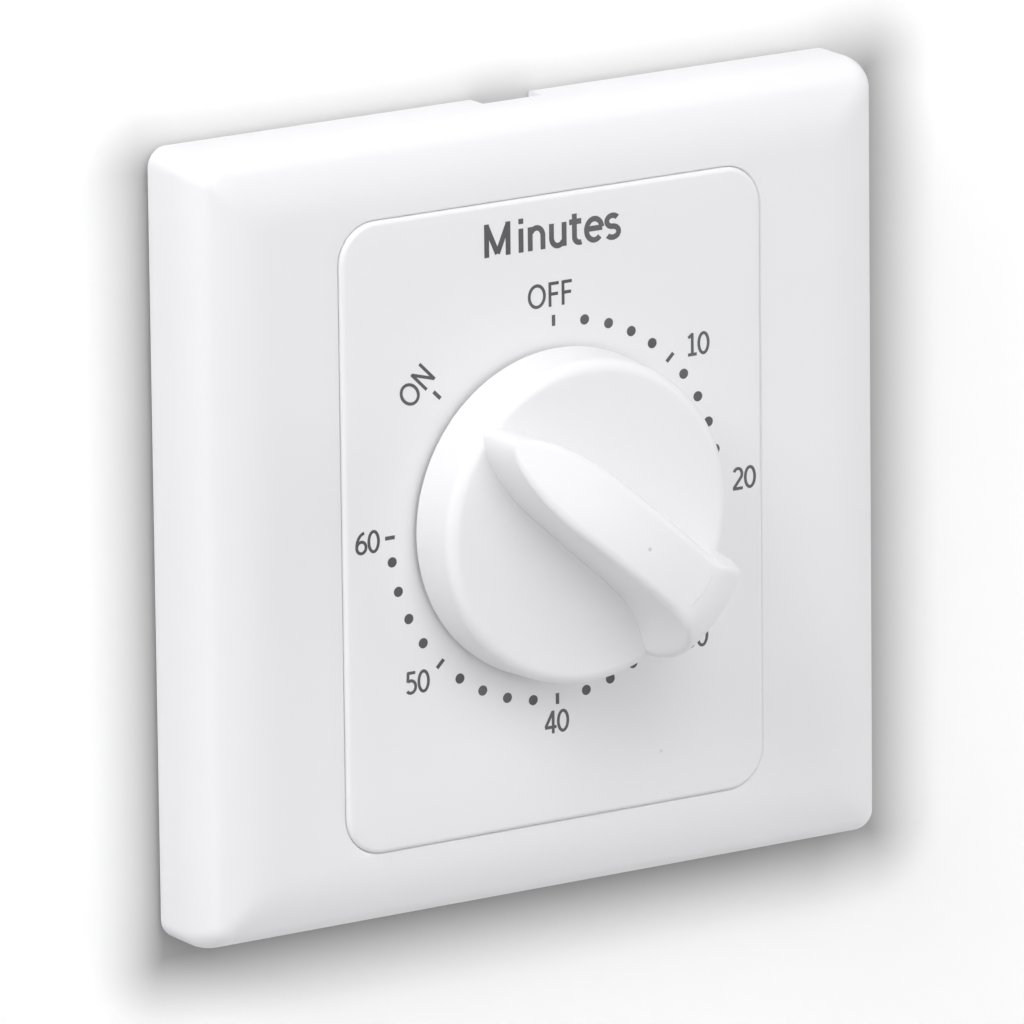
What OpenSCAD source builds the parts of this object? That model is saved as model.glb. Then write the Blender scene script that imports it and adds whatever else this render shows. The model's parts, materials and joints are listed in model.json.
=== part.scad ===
// Wall-mounted spring-wound timer light switch with a square face plate and a turning knob.
// Modules draw in face coordinates: x right, y up, z out of the wall towards the room, wall plane at z = 0.
// on_wall() then turns them into the part's own frame: X right, Z up, and the room at -Y.

/* [Face plate] */
// Width and height of the square face plate
plate_size = 86; // [84:0.5:92]
// Corner radius of the face plate, seen from the front
plate_corner_r = 2.8; // [2.4:0.1:6]
// Depth of the face plate from the wall to its flat front
plate_depth = 10.9; // [10:0.1:13]
// Straight part of the plate's edge, from the wall
rim_height = 6; // [5:0.1:6.5]
// Radius that rounds the plate's edge over to the front
edge_round = 3; // [2.4:0.1:3.6]
// Width of the border that slopes down to the edge
slope_band = 8; // [7:0.1:8.5]
// Wall thickness of the frame
frame_wall = 2.2; // [1.8:0.1:2.6]
// Width of the pry notch in the top edge
notch_w = 7.5; // [5:0.1:10]
// Depth of the pry notch from the wall
notch_depth = 2.7; // [2:0.1:3.5]
// Sideways place of the pry notch
notch_x = 0.6; // [-4:0.1:4]
// Width of the snap hooks on the frame
hook_w = 8; // [5:0.5:10]
// Distance of the snap hooks from the middle of each side
hook_place = 20; // [14:0.5:26]
// Reach of the snap hooks under the base plate
hook_reach = 0.6; // [0.4:0.1:0.8]

/* [Dial panel] */
// Width of the dial panel
panel_w = 52.7; // [51.5:0.1:53.5]
// Height of the dial panel
panel_h = 68.7; // [67:0.1:69.5]
// Corner radius of the dial panel
panel_corner_r = 5; // [4:0.1:7]
// How far the panel stands proud of the frame
panel_proud = 0.35; // [0.2:0.05:0.8]
// Gap between the panel and the frame's window
panel_gap = 0.2; // [0.1:0.05:0.4]
// Thickness of the panel's face
panel_t = 2.2; // [1.6:0.1:2.8]
// Thickness of the panel's skirt
skirt_t = 1.6; // [1.2:0.1:1.8]
// Radius of the panel's hole for the shaft
panel_hole_r = 4.5; // [3.5:0.1:6]

/* [Base plate] */
// Thickness of the base plate
base_t = 2.4; // [1.8:0.1:3]
// Distance of the base plate's back from the wall plane
base_recess = 0.5; // [0.3:0.05:0.8]
// Gap between the base plate and the frame around it
base_gap = 0.4; // [0.2:0.05:0.5]
// Distance between the two wall box screws
fixing_pitch = 60.3; // [60:0.1:62]
// Half the width of a fixing slot
fixing_slot_r = 2.2; // [2:0.05:2.5]
// End to end length of a fixing slot
fixing_slot_length = 7; // [5.5:0.1:7]

/* [Knob] */
// Radius of the knob's disc where it meets the panel
knob_r = 17.9; // [16.5:0.1:19]
// How much smaller the disc's front edge is
knob_taper = 0.3; // [0.2:0.1:1]
// Height of the knob's disc
knob_disc_h = 6.4; // [5:0.1:7.5]
// Radius of the disc's front edge
knob_edge_r = 0.8; // [0.4:0.1:1.5]
// Gap between the knob and the panel
knob_gap = 0.6; // [0.3:0.05:1]
// Thickness of the knob's front wall
knob_face_t = 2; // [1.5:0.1:2.5]
// Thickness of the knob's outer wall
knob_rim_t = 1.8; // [1.4:0.1:2.5]
// Radius of the boss around the shaft
boss_r = 5; // [4.4:0.1:6]
// Height of the grip above the disc
grip_rise = 11.4; // [9:0.1:13]
// Height of the grip's pointed end above the disc
grip_prow = 5.8; // [3:0.1:8]
// Half the width of the grip along its waist
grip_half_w = 3.8; // [3.4:0.1:4.5]
// Distance of the grip's pointed end from the shaft axis
grip_tip = 17.4; // [15.5:0.1:17.6]
// Distance from the shaft axis at which the pointed end starts to narrow
grip_nose = 7; // [5:0.1:9]
// Power of the pointed end's curve: 2 is an ellipse, less is sharper
grip_nose_power = 1.8; // [1.5:0.1:2.5]
// Distance from the shaft axis, towards the tail, at which the grip's crest levels out
grip_crest = 5; // [2:0.1:6]
// Distance from the shaft axis at which the tail starts to flare
grip_flare = 6.5; // [6:0.1:10]
// Radius of the tail's flare
grip_flare_r = 14; // [9:0.5:15]
// Half the width of the tail
grip_tail_half_w = 7; // [5:0.1:8]
// Radius of the tail at its top
grip_tail_top_r = 12.5; // [11:0.1:14]

/* [Shaft] */
// Radius of the shaft at the knob
shaft_r = 2.5; // [2.2:0.05:2.7]
// Depth of the flat on the shaft
shaft_flat = 1.1; // [0.8:0.05:1.3]
// Length of shaft inside the knob
shaft_reach = 8.5; // [6:0.1:10]
// Thickness of the knob's grip spring
clip_t = 0.3; // [0.2:0.05:0.4]
// Width of the knob's grip spring
clip_w = 2.4; // [1.8:0.1:2.8]
// Radius of the shaft's rear pivot
rear_pivot_r = 2; // [1.8:0.05:2.2]
// Radial clearance of turning fits
running_gap = 0.05; // [0.03:0.01:0.08]
// Turn from the knob's rest at its left stop to its right stop
knob_turn = 315; // [300:1:320]

/* [Clockwork] */
// Module of the gears
gear_module = 0.4; // [0.36:0.01:0.42]
// Pressure angle of the gears
pressure_angle = 25; // [24:0.5:26]
// Teeth on the great wheel
great_teeth = 60; // [58:1:62]
// Teeth on the second wheel
second_teeth = 48; // [46:1:50]
// Teeth on the third wheel
third_teeth = 42; // [40:1:43]
// Teeth on each pinion
pinion_teeth = 12; // [12:1:13]
// Amount by which each tooth is thinned for backlash
tooth_thinning = 0.07; // [0.05:0.01:0.09]
// Extra distance between meshing arbors
mesh_gap = 0.05; // [0.03:0.01:0.07]
// Thickness of the great wheel
great_t = 1.4; // [1:0.1:1.8]
// Thickness of the smaller wheels
wheel_t = 1.2; // [0.9:0.1:1.5]
// Teeth on the escape wheel
escape_teeth = 15; // [13:1:18]
// Tip radius of the escape wheel
escape_r = 4.6; // [4.2:0.1:4.8]
// Thickness of the escape wheel and the pallet lever
escape_t = 0.8; // [0.6:0.1:1]
// Distance between the escape wheel's and the pallet lever's axes
pallet_d = 7.2; // [7:0.1:7.6]
// Room that the pallets keep from the escape wheel's tips
pallet_room = 0.5; // [0.45:0.05:0.6]
// Outer radius of the balance wheel
balance_r = 5.3; // [4.8:0.1:5.6]
// Thickness of the movement's steel plates
steel_t = 1.2; // [0.8:0.1:1.6]
// Radius of the wheel arbors
arbor_r = 0.8; // [0.7:0.05:0.9]
// Radius of the arbors' pivots
pivot_r = 0.5; // [0.4:0.05:0.6]
// Radius of the pillars between the plates
pillar_r = 2; // [1.6:0.1:2.2]
// Width of the mainspring's strip
spring_h = 5; // [4:0.1:6]
// Thickness of the mainspring's strip
spring_t = 0.25; // [0.15:0.01:0.3]
// Turns of the mainspring
spring_turns = 6.5; // [5:0.5:8]
// Radius of the shaft's collar inside the mainspring
collar_r = 4; // [3.6:0.1:4.4]

/* [Switch] */
// Radius of the switch cam
cam_r = 7.5; // [6.8:0.1:8]
// Thickness of the switch cam
cam_t = 2.6; // [2:0.1:3]
// Depth of the cam's notch for the off position
cam_notch = 1.6; // [1:0.1:2]
// Thickness of the contact strips
strip_t = 0.4; // [0.3:0.05:0.5]
// Width of the contact strips
strip_w = 3; // [2.5:0.1:3.2]
// Radius of the silver contacts
contact_r = 1.3; // [1:0.1:1.4]
// Thickness of each silver contact
contact_t = 0.8; // [0.6:0.05:1]
// Width of a brass terminal clamp
clamp_w = 6; // [5.6:0.1:6.2]
// Height of a brass terminal clamp
clamp_h = 6.5; // [6.2:0.1:7]
// Length of a brass terminal clamp
clamp_l = 9.4; // [8.5:0.1:10]
// Radius of the wire hole in a terminal clamp
wire_r = 1.6; // [1.3:0.05:1.7]
// Depth of the wire hole in a terminal clamp
wire_depth = 7; // [6:0.1:7.5]
// Shank radius of the terminal screws
terminal_screw_r = 1.45; // [1.2:0.05:1.55]

/* [Rear housing] */
// Wall thickness of the rear housing
housing_wall = 2; // [1.6:0.1:2.4]
// Clearance between the housing and the movement's plates
housing_gap = 0.8; // [0.6:0.1:1]
// Thickness of the housing's flange
flange_t = 3; // [2:0.1:4]
// Sideways distance of the housing screws from the middle
housing_screw_x = 14; // [10:0.5:18]
// Depth of the housing's screw bosses behind the flange
boss_depth = 7; // [5:0.5:10]

/* [Hidden] */
$fn = 72;

// Small amount by which cutting shapes overrun
over = 0.5;
// Points on a rounded stretch of an outline
arc_steps = 10;

// Face plate and panel
half = plate_size / 2;
pocket_half = half - frame_wall;
base_half = pocket_half - base_gap;
base_back = base_recess;
base_front = base_back + base_t;
window_w = panel_w + 2 * panel_gap;
window_h = panel_h + 2 * panel_gap;
land_half = half - slope_band;
panel_front = plate_depth + panel_proud;
panel_back = panel_front - panel_t;
roof_inside = plate_depth - frame_wall;
skirt_in_w = panel_w - 2 * skirt_t;
skirt_in_h = panel_h - 2 * skirt_t;
hook_gap = 0.05;
pocket_corner_r = plate_corner_r - frame_wall + 0.8;
base_corner_r = pocket_corner_r + 1.6;
edge_pocket_top = rim_height + 0.5;
roof_pocket = 2 * land_half + 2;
plate_corner = 3;
seat_post_r = 2.5;
seat_post_place = base_half - seat_post_r - 1;

// Knob
rest_angle = 137.8;
knob_base = panel_front + knob_gap;
knob_face = knob_base + knob_disc_h;
knob_top = knob_face + grip_rise;
shaft_end = knob_base + shaft_reach;
flat_dist = shaft_r - shaft_flat;
clip_room = 0.1;
bore_flat_dist = flat_dist + clip_t + 2 * clip_room;
bore_top = shaft_end + 0.3;
clip_length = shaft_reach - 1;
rear_flat_dist = rear_pivot_r * 0.6;

// Clockwork layers, counted back from the front plate's inner face
shake = 0.2;
plate_in = base_back - steel_t;
spring_front = plate_in - 2 * shake;
spring_back = spring_front - spring_h;
ratchet_t = 0.8;
ratchet_front = spring_back - 1.5 * shake;
great_front = ratchet_front - ratchet_t;
great_back = great_front - great_t;
arbor_clip_t = 0.5;
arbor_clip_front = great_back - shake / 2;
arbor_clip_back = arbor_clip_front - arbor_clip_t;
second_front = arbor_clip_back - shake;
second_back = second_front - wheel_t;
third_front = second_back - 2 * shake;
third_back = third_front - wheel_t;
escape_front = third_back - 2 * shake;
escape_back = escape_front - escape_t;
back_plate_in = escape_back - 2.5 * shake;
back_plate_out = back_plate_in - steel_t;
pinion_overlap = shake / 2 + 0.1;

// Gear radii
function pitch_r(teeth) = gear_module * teeth / 2;
function tip_r(teeth) = pitch_r(teeth) + 0.9 * gear_module;
function root_r(teeth) = pitch_r(teeth) - 1.25 * gear_module;
function mesh_d(a, b) = pitch_r(a) + pitch_r(b) + mesh_gap;

// Arbor places: the second arbor meshes with the great wheel, and the next two stay clear of its rim
arbor_room = 0.4;
second_d = mesh_d(great_teeth, pinion_teeth);
clear_d = tip_r(great_teeth) + arbor_r + arbor_room;
second_third_d = mesh_d(second_teeth, pinion_teeth);
third_escape_d = mesh_d(third_teeth, pinion_teeth);
function opening(a, b, far) = acos((a * a + b * b - far * far) / (2 * a * b));
function polar(d, angle) = [d * cos(angle), d * sin(angle)];
function heading(p, q) = atan2(q[1] - p[1], q[0] - p[0]);
second_angle = 135;
third_angle = second_angle + opening(second_d, clear_d, second_third_d);
escape_angle = third_angle + opening(clear_d, clear_d, third_escape_d);
second_at = polar(second_d, second_angle);
third_at = polar(clear_d, third_angle);
escape_at = polar(clear_d, escape_angle);
pallet_heading = escape_angle + 67;
pallet_at = escape_at + polar(pallet_d, pallet_heading);

// Turn of each wheel's first tooth, so that the teeth are in mesh at rest
function mesh_turn(way, turn, teeth, next_teeth) =
  way + 180 + 180 / next_teeth - (turn - way) * teeth / next_teeth;
great_turn = 0;
second_turn = mesh_turn(second_angle, great_turn, great_teeth, pinion_teeth);
third_turn = mesh_turn(heading(second_at, third_at), second_turn, second_teeth, pinion_teeth);
escape_turn = mesh_turn(heading(third_at, escape_at), third_turn, third_teeth, pinion_teeth);

// Movement plates and rear housing
plate_margin = 0.4;
movement_half = plate_margin + max(
  abs(second_at[0]) + tip_r(second_teeth), abs(third_at[0]) + tip_r(third_teeth),
  abs(second_at[1]) + tip_r(second_teeth), abs(pallet_at[1]) + balance_r
);
pillar_place = movement_half - pillar_r - 0.5;
tenon_r = pillar_r * 0.75;
movement_screw_d = tip_r(great_teeth) + 2.6;
movement_screw_r = 1.45;
screw_head_h = 1.9;
screw_head_r = 2.6;
thread_gap = 0.05;
screw_gap = 0.2;
sheet_t = 0.4;
sheet_back = back_plate_out - sheet_t;
switch_room = clamp_l + 3;
housing_in = movement_half + housing_gap;
housing_out = housing_in + housing_wall;
floor_in = sheet_back - switch_room;
floor_out = floor_in - housing_wall;
housing_boss_r = 3;
housing_screw_y = housing_out + housing_boss_r - 0.2;
flange_h = 2 * (housing_screw_y + housing_boss_r + 0.6);
housing_screw_r = 1.15;
housing_screw_tip = base_back - flange_t - boss_depth + 1.5;

// Mainspring, from the shaft's collar to the post that holds its outer end
spring_in_r = collar_r + spring_t / 2 + 0.12;
spring_out_r = tip_r(great_teeth) - 0.16;
spring_pitch = (spring_out_r - spring_in_r) / spring_turns;
spring_post_r = 1.2;
spring_post_angle = 20;
spring_tenon_r = 0.7;
spring_post_at = polar(spring_out_r + spring_t / 2 + 0.1 + spring_post_r, spring_post_angle);

// Stop arm on the shaft and stop post on the base plate
stop_in_r = 7;
stop_out_r = 9.5;
stop_t = 1.2;
stop_lift = 0.5;
stop_front = base_front + stop_lift + stop_t;
stop_hub_wall = 2;
stop_arm_lap = 0.5;
stop_tip_gap = 0.3;
stop_play = 0.5;
stop_half = (360 - knob_turn) / 4 - stop_play / 2;
stop_angle = 270;
stop_arm_angle = stop_angle - (360 - knob_turn) / 2;

// Switch compartment
cam_front = sheet_back - 0.4;
cam_back = cam_front - cam_t;
shaft_back = cam_back - 0.4;
strip_front = sheet_back - 0.4;
strip_back = strip_front - strip_w;
moving_x = cam_r + 0.8;
contact_x = moving_x + strip_t;
fixed_x = contact_x + 2 * contact_t;
follower_r = 0.7;
follower_x = cam_r + 0.15 + follower_r;
contact_y = cam_r - 0.5;
strip_top = contact_y + contact_r + 0.7;
clamp_drop = 6;
clamp_top = -cam_r - clamp_drop;
clamp_bottom = clamp_top - clamp_h;
strip_bottom = clamp_bottom + 1;
clamp_front = sheet_back - 1.4;
clamp_back = clamp_front - clamp_l;
clamp_a_x = moving_x - clamp_w;
clamp_b_x = fixed_x + strip_t;
wire_y = clamp_top - clamp_h * 0.385;
wire_xs = [clamp_a_x + clamp_w / 2, clamp_b_x + clamp_w / 2];
wire_room = 1.6;
wire_window = wire_r + wire_room;
driver_room = 0.4;
terminal_z = clamp_back + wire_depth * 0.56;
terminal_tip = wire_y - wire_r - 0.4;
terminal_head_h = 1.8;
terminal_head_r = 2.6;
terminal_neck = clamp_bottom - 2.2;
block_wall = 1.2;
block_bottom = clamp_bottom - 1.3;
seat_gap = 0.1;

module on_wall() { rotate([90, 0, 0]) children(); }

module post(r, z0, z1) { translate([0, 0, z0]) cylinder(r = r, h = z1 - z0); }

module ring(r_in, r_out, z0, z1) {
  difference() {
    post(r_out, z0, z1);
    post(r_in, z0 - over, z1 + over);
  }
}

// Upright plate with round corners, centred on the axis
module slab(w, h, r, z0, z1) {
  translate([-w / 2 + r, -h / 2, z0]) cube([w - 2 * r, h, z1 - z0]);
  translate([-w / 2, -h / 2 + r, z0]) cube([w, h - 2 * r, z1 - z0]);
  for (sx = [-1, 1], sy = [-1, 1])
    translate([sx * (w / 2 - r), sy * (h / 2 - r), 0]) post(r, z0, z1);
}

module box(x0, x1, y0, y1, z0, z1) { translate([x0, y0, z0]) cube([x1 - x0, y1 - y0, z1 - z0]); }

// Straight bar of width w from point p to point q
module bar(p, q, w, z0, z1) {
  translate([p[0], p[1], z0]) rotate([0, 0, heading(p, q)])
    translate([0, -w / 2, 0]) cube([norm(q - p), w, z1 - z0]);
}

// Wedge of a disc between two radii, centred on an angle
module wedge(r_in, r_out, half_angle, z0, z1) {
  steps = 4;
  angles = [for (i = [0:steps]) half_angle * (2 * i / steps - 1)];
  points = concat([for (a = angles) polar(r_out, a)], [for (i = [steps:-1:0]) polar(r_in, angles[i])]);
  translate([0, 0, z0]) linear_extrude(z1 - z0) polygon(points);
}

module at(p) { translate([p[0], p[1], 0]) children(); }

// Screw standing on its head's underside at z = 0, with the shank behind
module cap_screw(shank_r, head_r, head_h, length) {
  slot_w = head_r * 0.3;
  difference() {
    post(head_r, 0, head_h);
    box(-slot_w / 2, slot_w / 2, -head_r - over, head_r + over, head_h * 0.55, head_h + over);
  }
  post(shank_r, -length, 0);
}

// Frame outline across the plate: straight edge, round-over, sloping border and flat front
edge_centre = [half - edge_round, rim_height];
slope_reach = norm([land_half, plate_depth] - edge_centre);
slope_angle = heading(edge_centre, [land_half, plate_depth]) - acos(edge_round / slope_reach);
edge_half = concat(
  [[half, 0]],
  [for (i = [0:arc_steps]) edge_centre + polar(edge_round, slope_angle * i / arc_steps)],
  [[land_half, plate_depth]]
);
edge_outline = concat(edge_half, [for (i = [len(edge_half) - 1:-1:0]) [-edge_half[i][0], edge_half[i][1]]]);

module edge_prism() {
  translate([0, half, 0]) rotate([90, 0, 0]) linear_extrude(plate_size) polygon(edge_outline);
}

module front_frame() {
  color("white") difference() {
    union() {
      difference() {
        intersection() {
          edge_prism();
          rotate([0, 0, 90]) edge_prism();
          slab(plate_size, plate_size, plate_corner_r, 0, plate_depth);
        }
        slab(2 * pocket_half, 2 * pocket_half, pocket_corner_r, -over, edge_pocket_top);
        slab(roof_pocket, roof_pocket, plate_corner, 0, roof_inside);
      }
      for (sx = [-1, 1], sy = [-1, 1])
        at([sx * seat_post_place, sy * seat_post_place]) post(seat_post_r, base_front, roof_inside);
      for (turn = [0:90:270], side = [-1, 1]) rotate([0, 0, turn])
        box(base_half - hook_reach, pocket_half + over, side * hook_place - hook_w / 2,
          side * hook_place + hook_w / 2, 0, base_back - hook_gap);
    }
    slab(window_w, window_h, panel_corner_r + panel_gap, -over, plate_depth + over);
    box(notch_x - notch_w / 2, notch_x + notch_w / 2, pocket_half - over, half + over, -over, notch_depth);
  }
}

module dial_panel() {
  color("white") difference() {
    slab(panel_w, panel_h, panel_corner_r, base_front, panel_front);
    slab(skirt_in_w, skirt_in_h, panel_corner_r - skirt_t, base_front - over, panel_back);
    post(panel_hole_r, panel_back - over, panel_front + over);
    housing_screw_places()
      post(screw_head_r + screw_gap, base_front - over, base_front + screw_head_h + screw_gap);
  }
}

module fixing_slot() {
  reach = fixing_slot_length / 2 - fixing_slot_r;
  for (s = [-1, 1]) translate([s * reach, 0, 0]) post(fixing_slot_r, base_back - over, base_front + over);
  box(-reach, reach, -fixing_slot_r, fixing_slot_r, base_back - over, base_front + over);
}

module housing_screw_places() {
  for (sx = [-1, 1], sy = [-1, 1]) at([sx * housing_screw_x, sy * housing_screw_y]) children();
}

module movement_screw_places() {
  for (s = [-1, 1]) at([0, s * movement_screw_d]) children();
}

bush_wall = 1.5;
bush_lip = 1;
bush_r = shaft_r + bush_wall;
bush_flange_r = bush_r + bush_lip;
bush_flange_t = base_t / 2;
bush_room = 0.5;
module base_plate() {
  color("gainsboro") difference() {
    union() {
      slab(2 * base_half, 2 * base_half, base_corner_r, base_back, base_front);
      rotate([0, 0, stop_angle]) wedge(stop_in_r, stop_out_r, stop_half, base_front, stop_front);
    }
    post(bush_flange_r + bush_room, base_back - over, base_front + over);
    for (s = [-1, 1]) at([s * fixing_pitch / 2, 0]) fixing_slot();
    housing_screw_places() post(housing_screw_r + screw_gap, base_back - over, base_front + over);
    movement_screw_places() post(movement_screw_r + screw_gap, base_back - over, base_front + over);
  }
}

module rear_housing() {
  color("gainsboro") difference() {
    union() {
      slab(2 * housing_out, 2 * housing_out, plate_corner, floor_out, base_back);
      slab(2 * housing_out, flange_h, plate_corner, base_back - flange_t, base_back);
      housing_screw_places() post(housing_boss_r, base_back - flange_t - boss_depth, base_back);
    }
    slab(2 * housing_in, 2 * housing_in, plate_corner - housing_wall, floor_in, base_back + over);
    housing_screw_places() post(housing_screw_r + thread_gap, housing_screw_tip - 0.5, base_back + over);
    box(wire_xs[0] - wire_window, wire_xs[1] + wire_window, wire_y - wire_window, wire_y + wire_window,
      floor_out - over, floor_in + over);
    for (x = wire_xs) translate([x, 0, terminal_z]) rotate([90, 0, 0])
      post(terminal_head_r + driver_room, housing_in - over, housing_out + over);
  }
}

module housing_screws() {
  color("silver") housing_screw_places() translate([0, 0, base_front])
    cap_screw(housing_screw_r, screw_head_r, screw_head_h, base_front - housing_screw_tip);
}

module movement_screws() {
  color("silver") movement_screw_places() translate([0, 0, base_front])
    cap_screw(movement_screw_r, screw_head_r, screw_head_h, base_front - plate_in);
}

// Half the width of the grip at a distance u from the shaft axis, towards the tail
function grip_width(u) =
  let (reach = max(0, -u - grip_nose) / (grip_tip - grip_nose), out = max(0, u - grip_flare))
  reach > 0 ? grip_half_w * pow(max(0, 1 - pow(reach, grip_nose_power)), 1 / grip_nose_power) :
  min(grip_tail_half_w, grip_half_w + grip_flare_r - sqrt(max(0, pow(grip_flare_r, 2) - pow(out, 2))));

// Height of the grip's crest at u: a parabola from the pointed end up to a level stretch
function crest_height(u) =
  knob_top - (grip_rise - grip_prow) * pow(max(0, grip_crest - u) / (grip_crest + grip_tip), 2);

nose_us = [for (i = [0:arc_steps]) -grip_nose - (grip_tip - grip_nose) * cos(90 * i / arc_steps)];
flare_us = [for (i = [0:arc_steps]) grip_flare + (knob_r - grip_flare) * i / arc_steps];
grip_us = concat(nose_us, flare_us);
grip_outline = concat(
  [for (u = grip_us) [u, -grip_width(u)]],
  [for (i = [len(grip_us) - 1:-1:1]) [grip_us[i], grip_width(grip_us[i])]]
);
crest_us = [for (i = [0:arc_steps]) -grip_tip + (grip_tip + grip_crest) * i / arc_steps];
crest_outline = concat(
  [for (u = crest_us) [u, crest_height(u)]],
  [[knob_r, knob_top], [knob_r, knob_face - 1], [-grip_tip, knob_face - 1]]
);

module grip() {
  tail_slope = (knob_r - knob_taper - grip_tail_top_r) / grip_rise;
  intersection() {
    translate([0, 0, knob_face - 1]) linear_extrude(grip_rise + 1) polygon(grip_outline);
    translate([0, knob_r, 0]) rotate([90, 0, 0]) linear_extrude(2 * knob_r) polygon(crest_outline);
    translate([0, 0, knob_face - 1])
      cylinder(r1 = grip_tail_top_r + tail_slope * (grip_rise + 1), r2 = grip_tail_top_r, h = grip_rise + 1);
  }
}

// Disc outline from the axis: flat front, rounded edge and slightly tapered side
disc_edge = [knob_r - knob_taper - knob_edge_r, knob_face - knob_edge_r];
disc_outline = concat(
  [[0, knob_base], [knob_r, knob_base]],
  [for (i = [0:arc_steps]) disc_edge + polar(knob_edge_r, 90 * i / arc_steps)],
  [[0, knob_face]]
);

// Round bar with a flat that faces the grip's pointed end
module d_bar(r, flat, z0, z1) {
  intersection() {
    post(r, z0, z1);
    box(-flat, r + over, -r - over, r + over, z0 - over, z1 + over);
  }
}

module turned() { rotate([0, 0, rest_angle + 180]) children(); }

module knob() {
  color("white") turned() difference() {
    union() {
      difference() {
        rotate_extrude() polygon(disc_outline);
        ring(boss_r, knob_r - knob_rim_t, knob_base - over, knob_face - knob_face_t);
      }
      grip();
    }
    d_bar(shaft_r + running_gap, bore_flat_dist, knob_base - over, bore_top);
  }
}

module knob_clip() {
  near = flat_dist + clip_room;
  color("silver") turned()
    box(-near - clip_t, -near, -clip_w / 2, clip_w / 2, shaft_end - clip_length, shaft_end);
}

groove_r = shaft_r - 0.6;
groove_play = 0.05;
shoulder = arbor_clip_back - 0.4;
// Shaft outline from the axis, from the rear pivot to the knob's end
shaft_outline = [
  [0, shaft_back], [rear_pivot_r, shaft_back], [rear_pivot_r, shoulder], [shaft_r, shoulder],
  [shaft_r, arbor_clip_back - groove_play], [groove_r, arbor_clip_back - groove_play],
  [groove_r, arbor_clip_front + groove_play], [shaft_r, arbor_clip_front + groove_play],
  [shaft_r, spring_back - 0.1], [collar_r, spring_back - 0.1],
  [collar_r, plate_in - shake], [shaft_r, plate_in - shake],
  [shaft_r, shaft_end], [0, shaft_end]
];

// Everything beyond a flat on the shaft
module flat_cut(flat, z0, z1) { box(-shaft_r - over, -flat, -shaft_r - over, shaft_r + over, z0, z1); }

module main_arbor() {
  color("lightsteelblue") difference() {
    rotate_extrude() polygon(shaft_outline);
    turned() flat_cut(flat_dist, knob_base, shaft_end + over);
    turned() flat_cut(rear_flat_dist, shaft_back - over, cam_front + 0.1);
  }
}

stop_hub_r = shaft_r + stop_hub_wall;
module stop_arm() {
  color("silver") {
    ring(shaft_r + running_gap, stop_hub_r, stop_front - stop_t, stop_front);
    rotate([0, 0, stop_arm_angle])
      wedge(stop_hub_r - stop_arm_lap, stop_out_r - stop_tip_gap, stop_half, stop_front - stop_t, stop_front);
  }
}

module front_bush() {
  color("goldenrod") difference() {
    union() {
      post(bush_r, plate_in, base_back);
      post(bush_flange_r, base_back, base_back + bush_flange_t);
    }
    post(shaft_r + running_gap, plate_in - over, base_back + bush_flange_t + over);
  }
}

arbor_places = [second_at, third_at, escape_at, pallet_at];

module movement_plate(z0, z1) {
  difference() {
    slab(2 * movement_half, 2 * movement_half, plate_corner, z0, z1);
    for (p = arbor_places) at(p) post(pivot_r + running_gap, z0 - over, z1 + over);
    for (sx = [-1, 1], sy = [-1, 1])
      at([sx * pillar_place, sy * pillar_place]) post(tenon_r + running_gap, z0 - over, z1 + over);
  }
}

module movement_front_plate() {
  color("silver") difference() {
    movement_plate(plate_in, base_back);
    post(bush_r + running_gap, plate_in - over, base_back + over);
    movement_screw_places() post(movement_screw_r + thread_gap, plate_in - over, base_back + over);
    at(spring_post_at) post(spring_tenon_r + running_gap, plate_in - over, base_back + over);
  }
}

module movement_back_plate() {
  color("silver") difference() {
    movement_plate(back_plate_out, back_plate_in);
    post(rear_pivot_r + running_gap, back_plate_out - over, back_plate_in + over);
  }
}

module pillars() {
  color("silver") for (sx = [-1, 1], sy = [-1, 1]) at([sx * pillar_place, sy * pillar_place]) {
    post(pillar_r, back_plate_in, plate_in);
    post(tenon_r, back_plate_out, base_back);
  }
}

// Spiral strip: the radius grows by one pitch each turn, and the strip is as thick as spring_t
module mainspring() {
  turn_steps = 24;
  steps = spring_turns * turn_steps;
  function spiral(i, side) =
    polar(spring_in_r + spring_pitch * i / turn_steps + side * spring_t / 2,
      spring_post_angle + 360 * (i - steps) / turn_steps);
  points = concat([for (i = [0:steps]) spiral(i, 1)], [for (i = [steps:-1:0]) spiral(i, -1)]);
  color("steelblue") translate([0, 0, spring_back]) linear_extrude(spring_h) polygon(points);
}

module spring_post() {
  color("silver") at(spring_post_at) {
    post(spring_post_r, spring_back, plate_in);
    post(spring_tenon_r, plate_in - 0.1, base_back);
  }
}

// Saw teeth: each tooth falls steeply behind its tip
function saw_teeth(teeth, r_tip, r_root) = [
  for (i = [0:teeth - 1], s = [0, 1]) polar(s == 0 ? r_tip : r_root, 360 * (i + s * 0.22) / teeth)
];

ratchet_width = 2.6;
ratchet_r = shaft_r + ratchet_width;
ratchet_tooth_h = 0.9;
ratchet_teeth = 16;
click_t = ratchet_t - 0.1;
module ratchet_wheel() {
  color("silver") difference() {
    translate([0, 0, great_front]) linear_extrude(click_t)
      polygon(saw_teeth(ratchet_teeth, ratchet_r, ratchet_r - ratchet_tooth_h));
    post(shaft_r + running_gap, great_front - over, ratchet_front + over);
  }
}

click_reach = 3.2;
click_d = ratchet_r + click_reach;
click_rivet_r = 0.6;
click_pad_r = 1.3;
click_angle = 60;
click_at = polar(click_d, click_angle);
click_nose_r = 0.55;
click_arm_w = 0.8;
click_play = 0.15;
click_nose = polar(ratchet_r + click_nose_r + click_play, click_angle - 30);
module click() {
  z1 = great_front + click_t;
  color("silver") difference() {
    union() {
      at(click_at) post(click_pad_r, great_front, z1);
      bar(click_at, click_nose, click_arm_w, great_front, z1);
      at(click_nose) post(click_nose_r, great_front, z1);
    }
    at(click_at) post(click_rivet_r + running_gap, great_front - over, z1 + over);
  }
}

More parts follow.
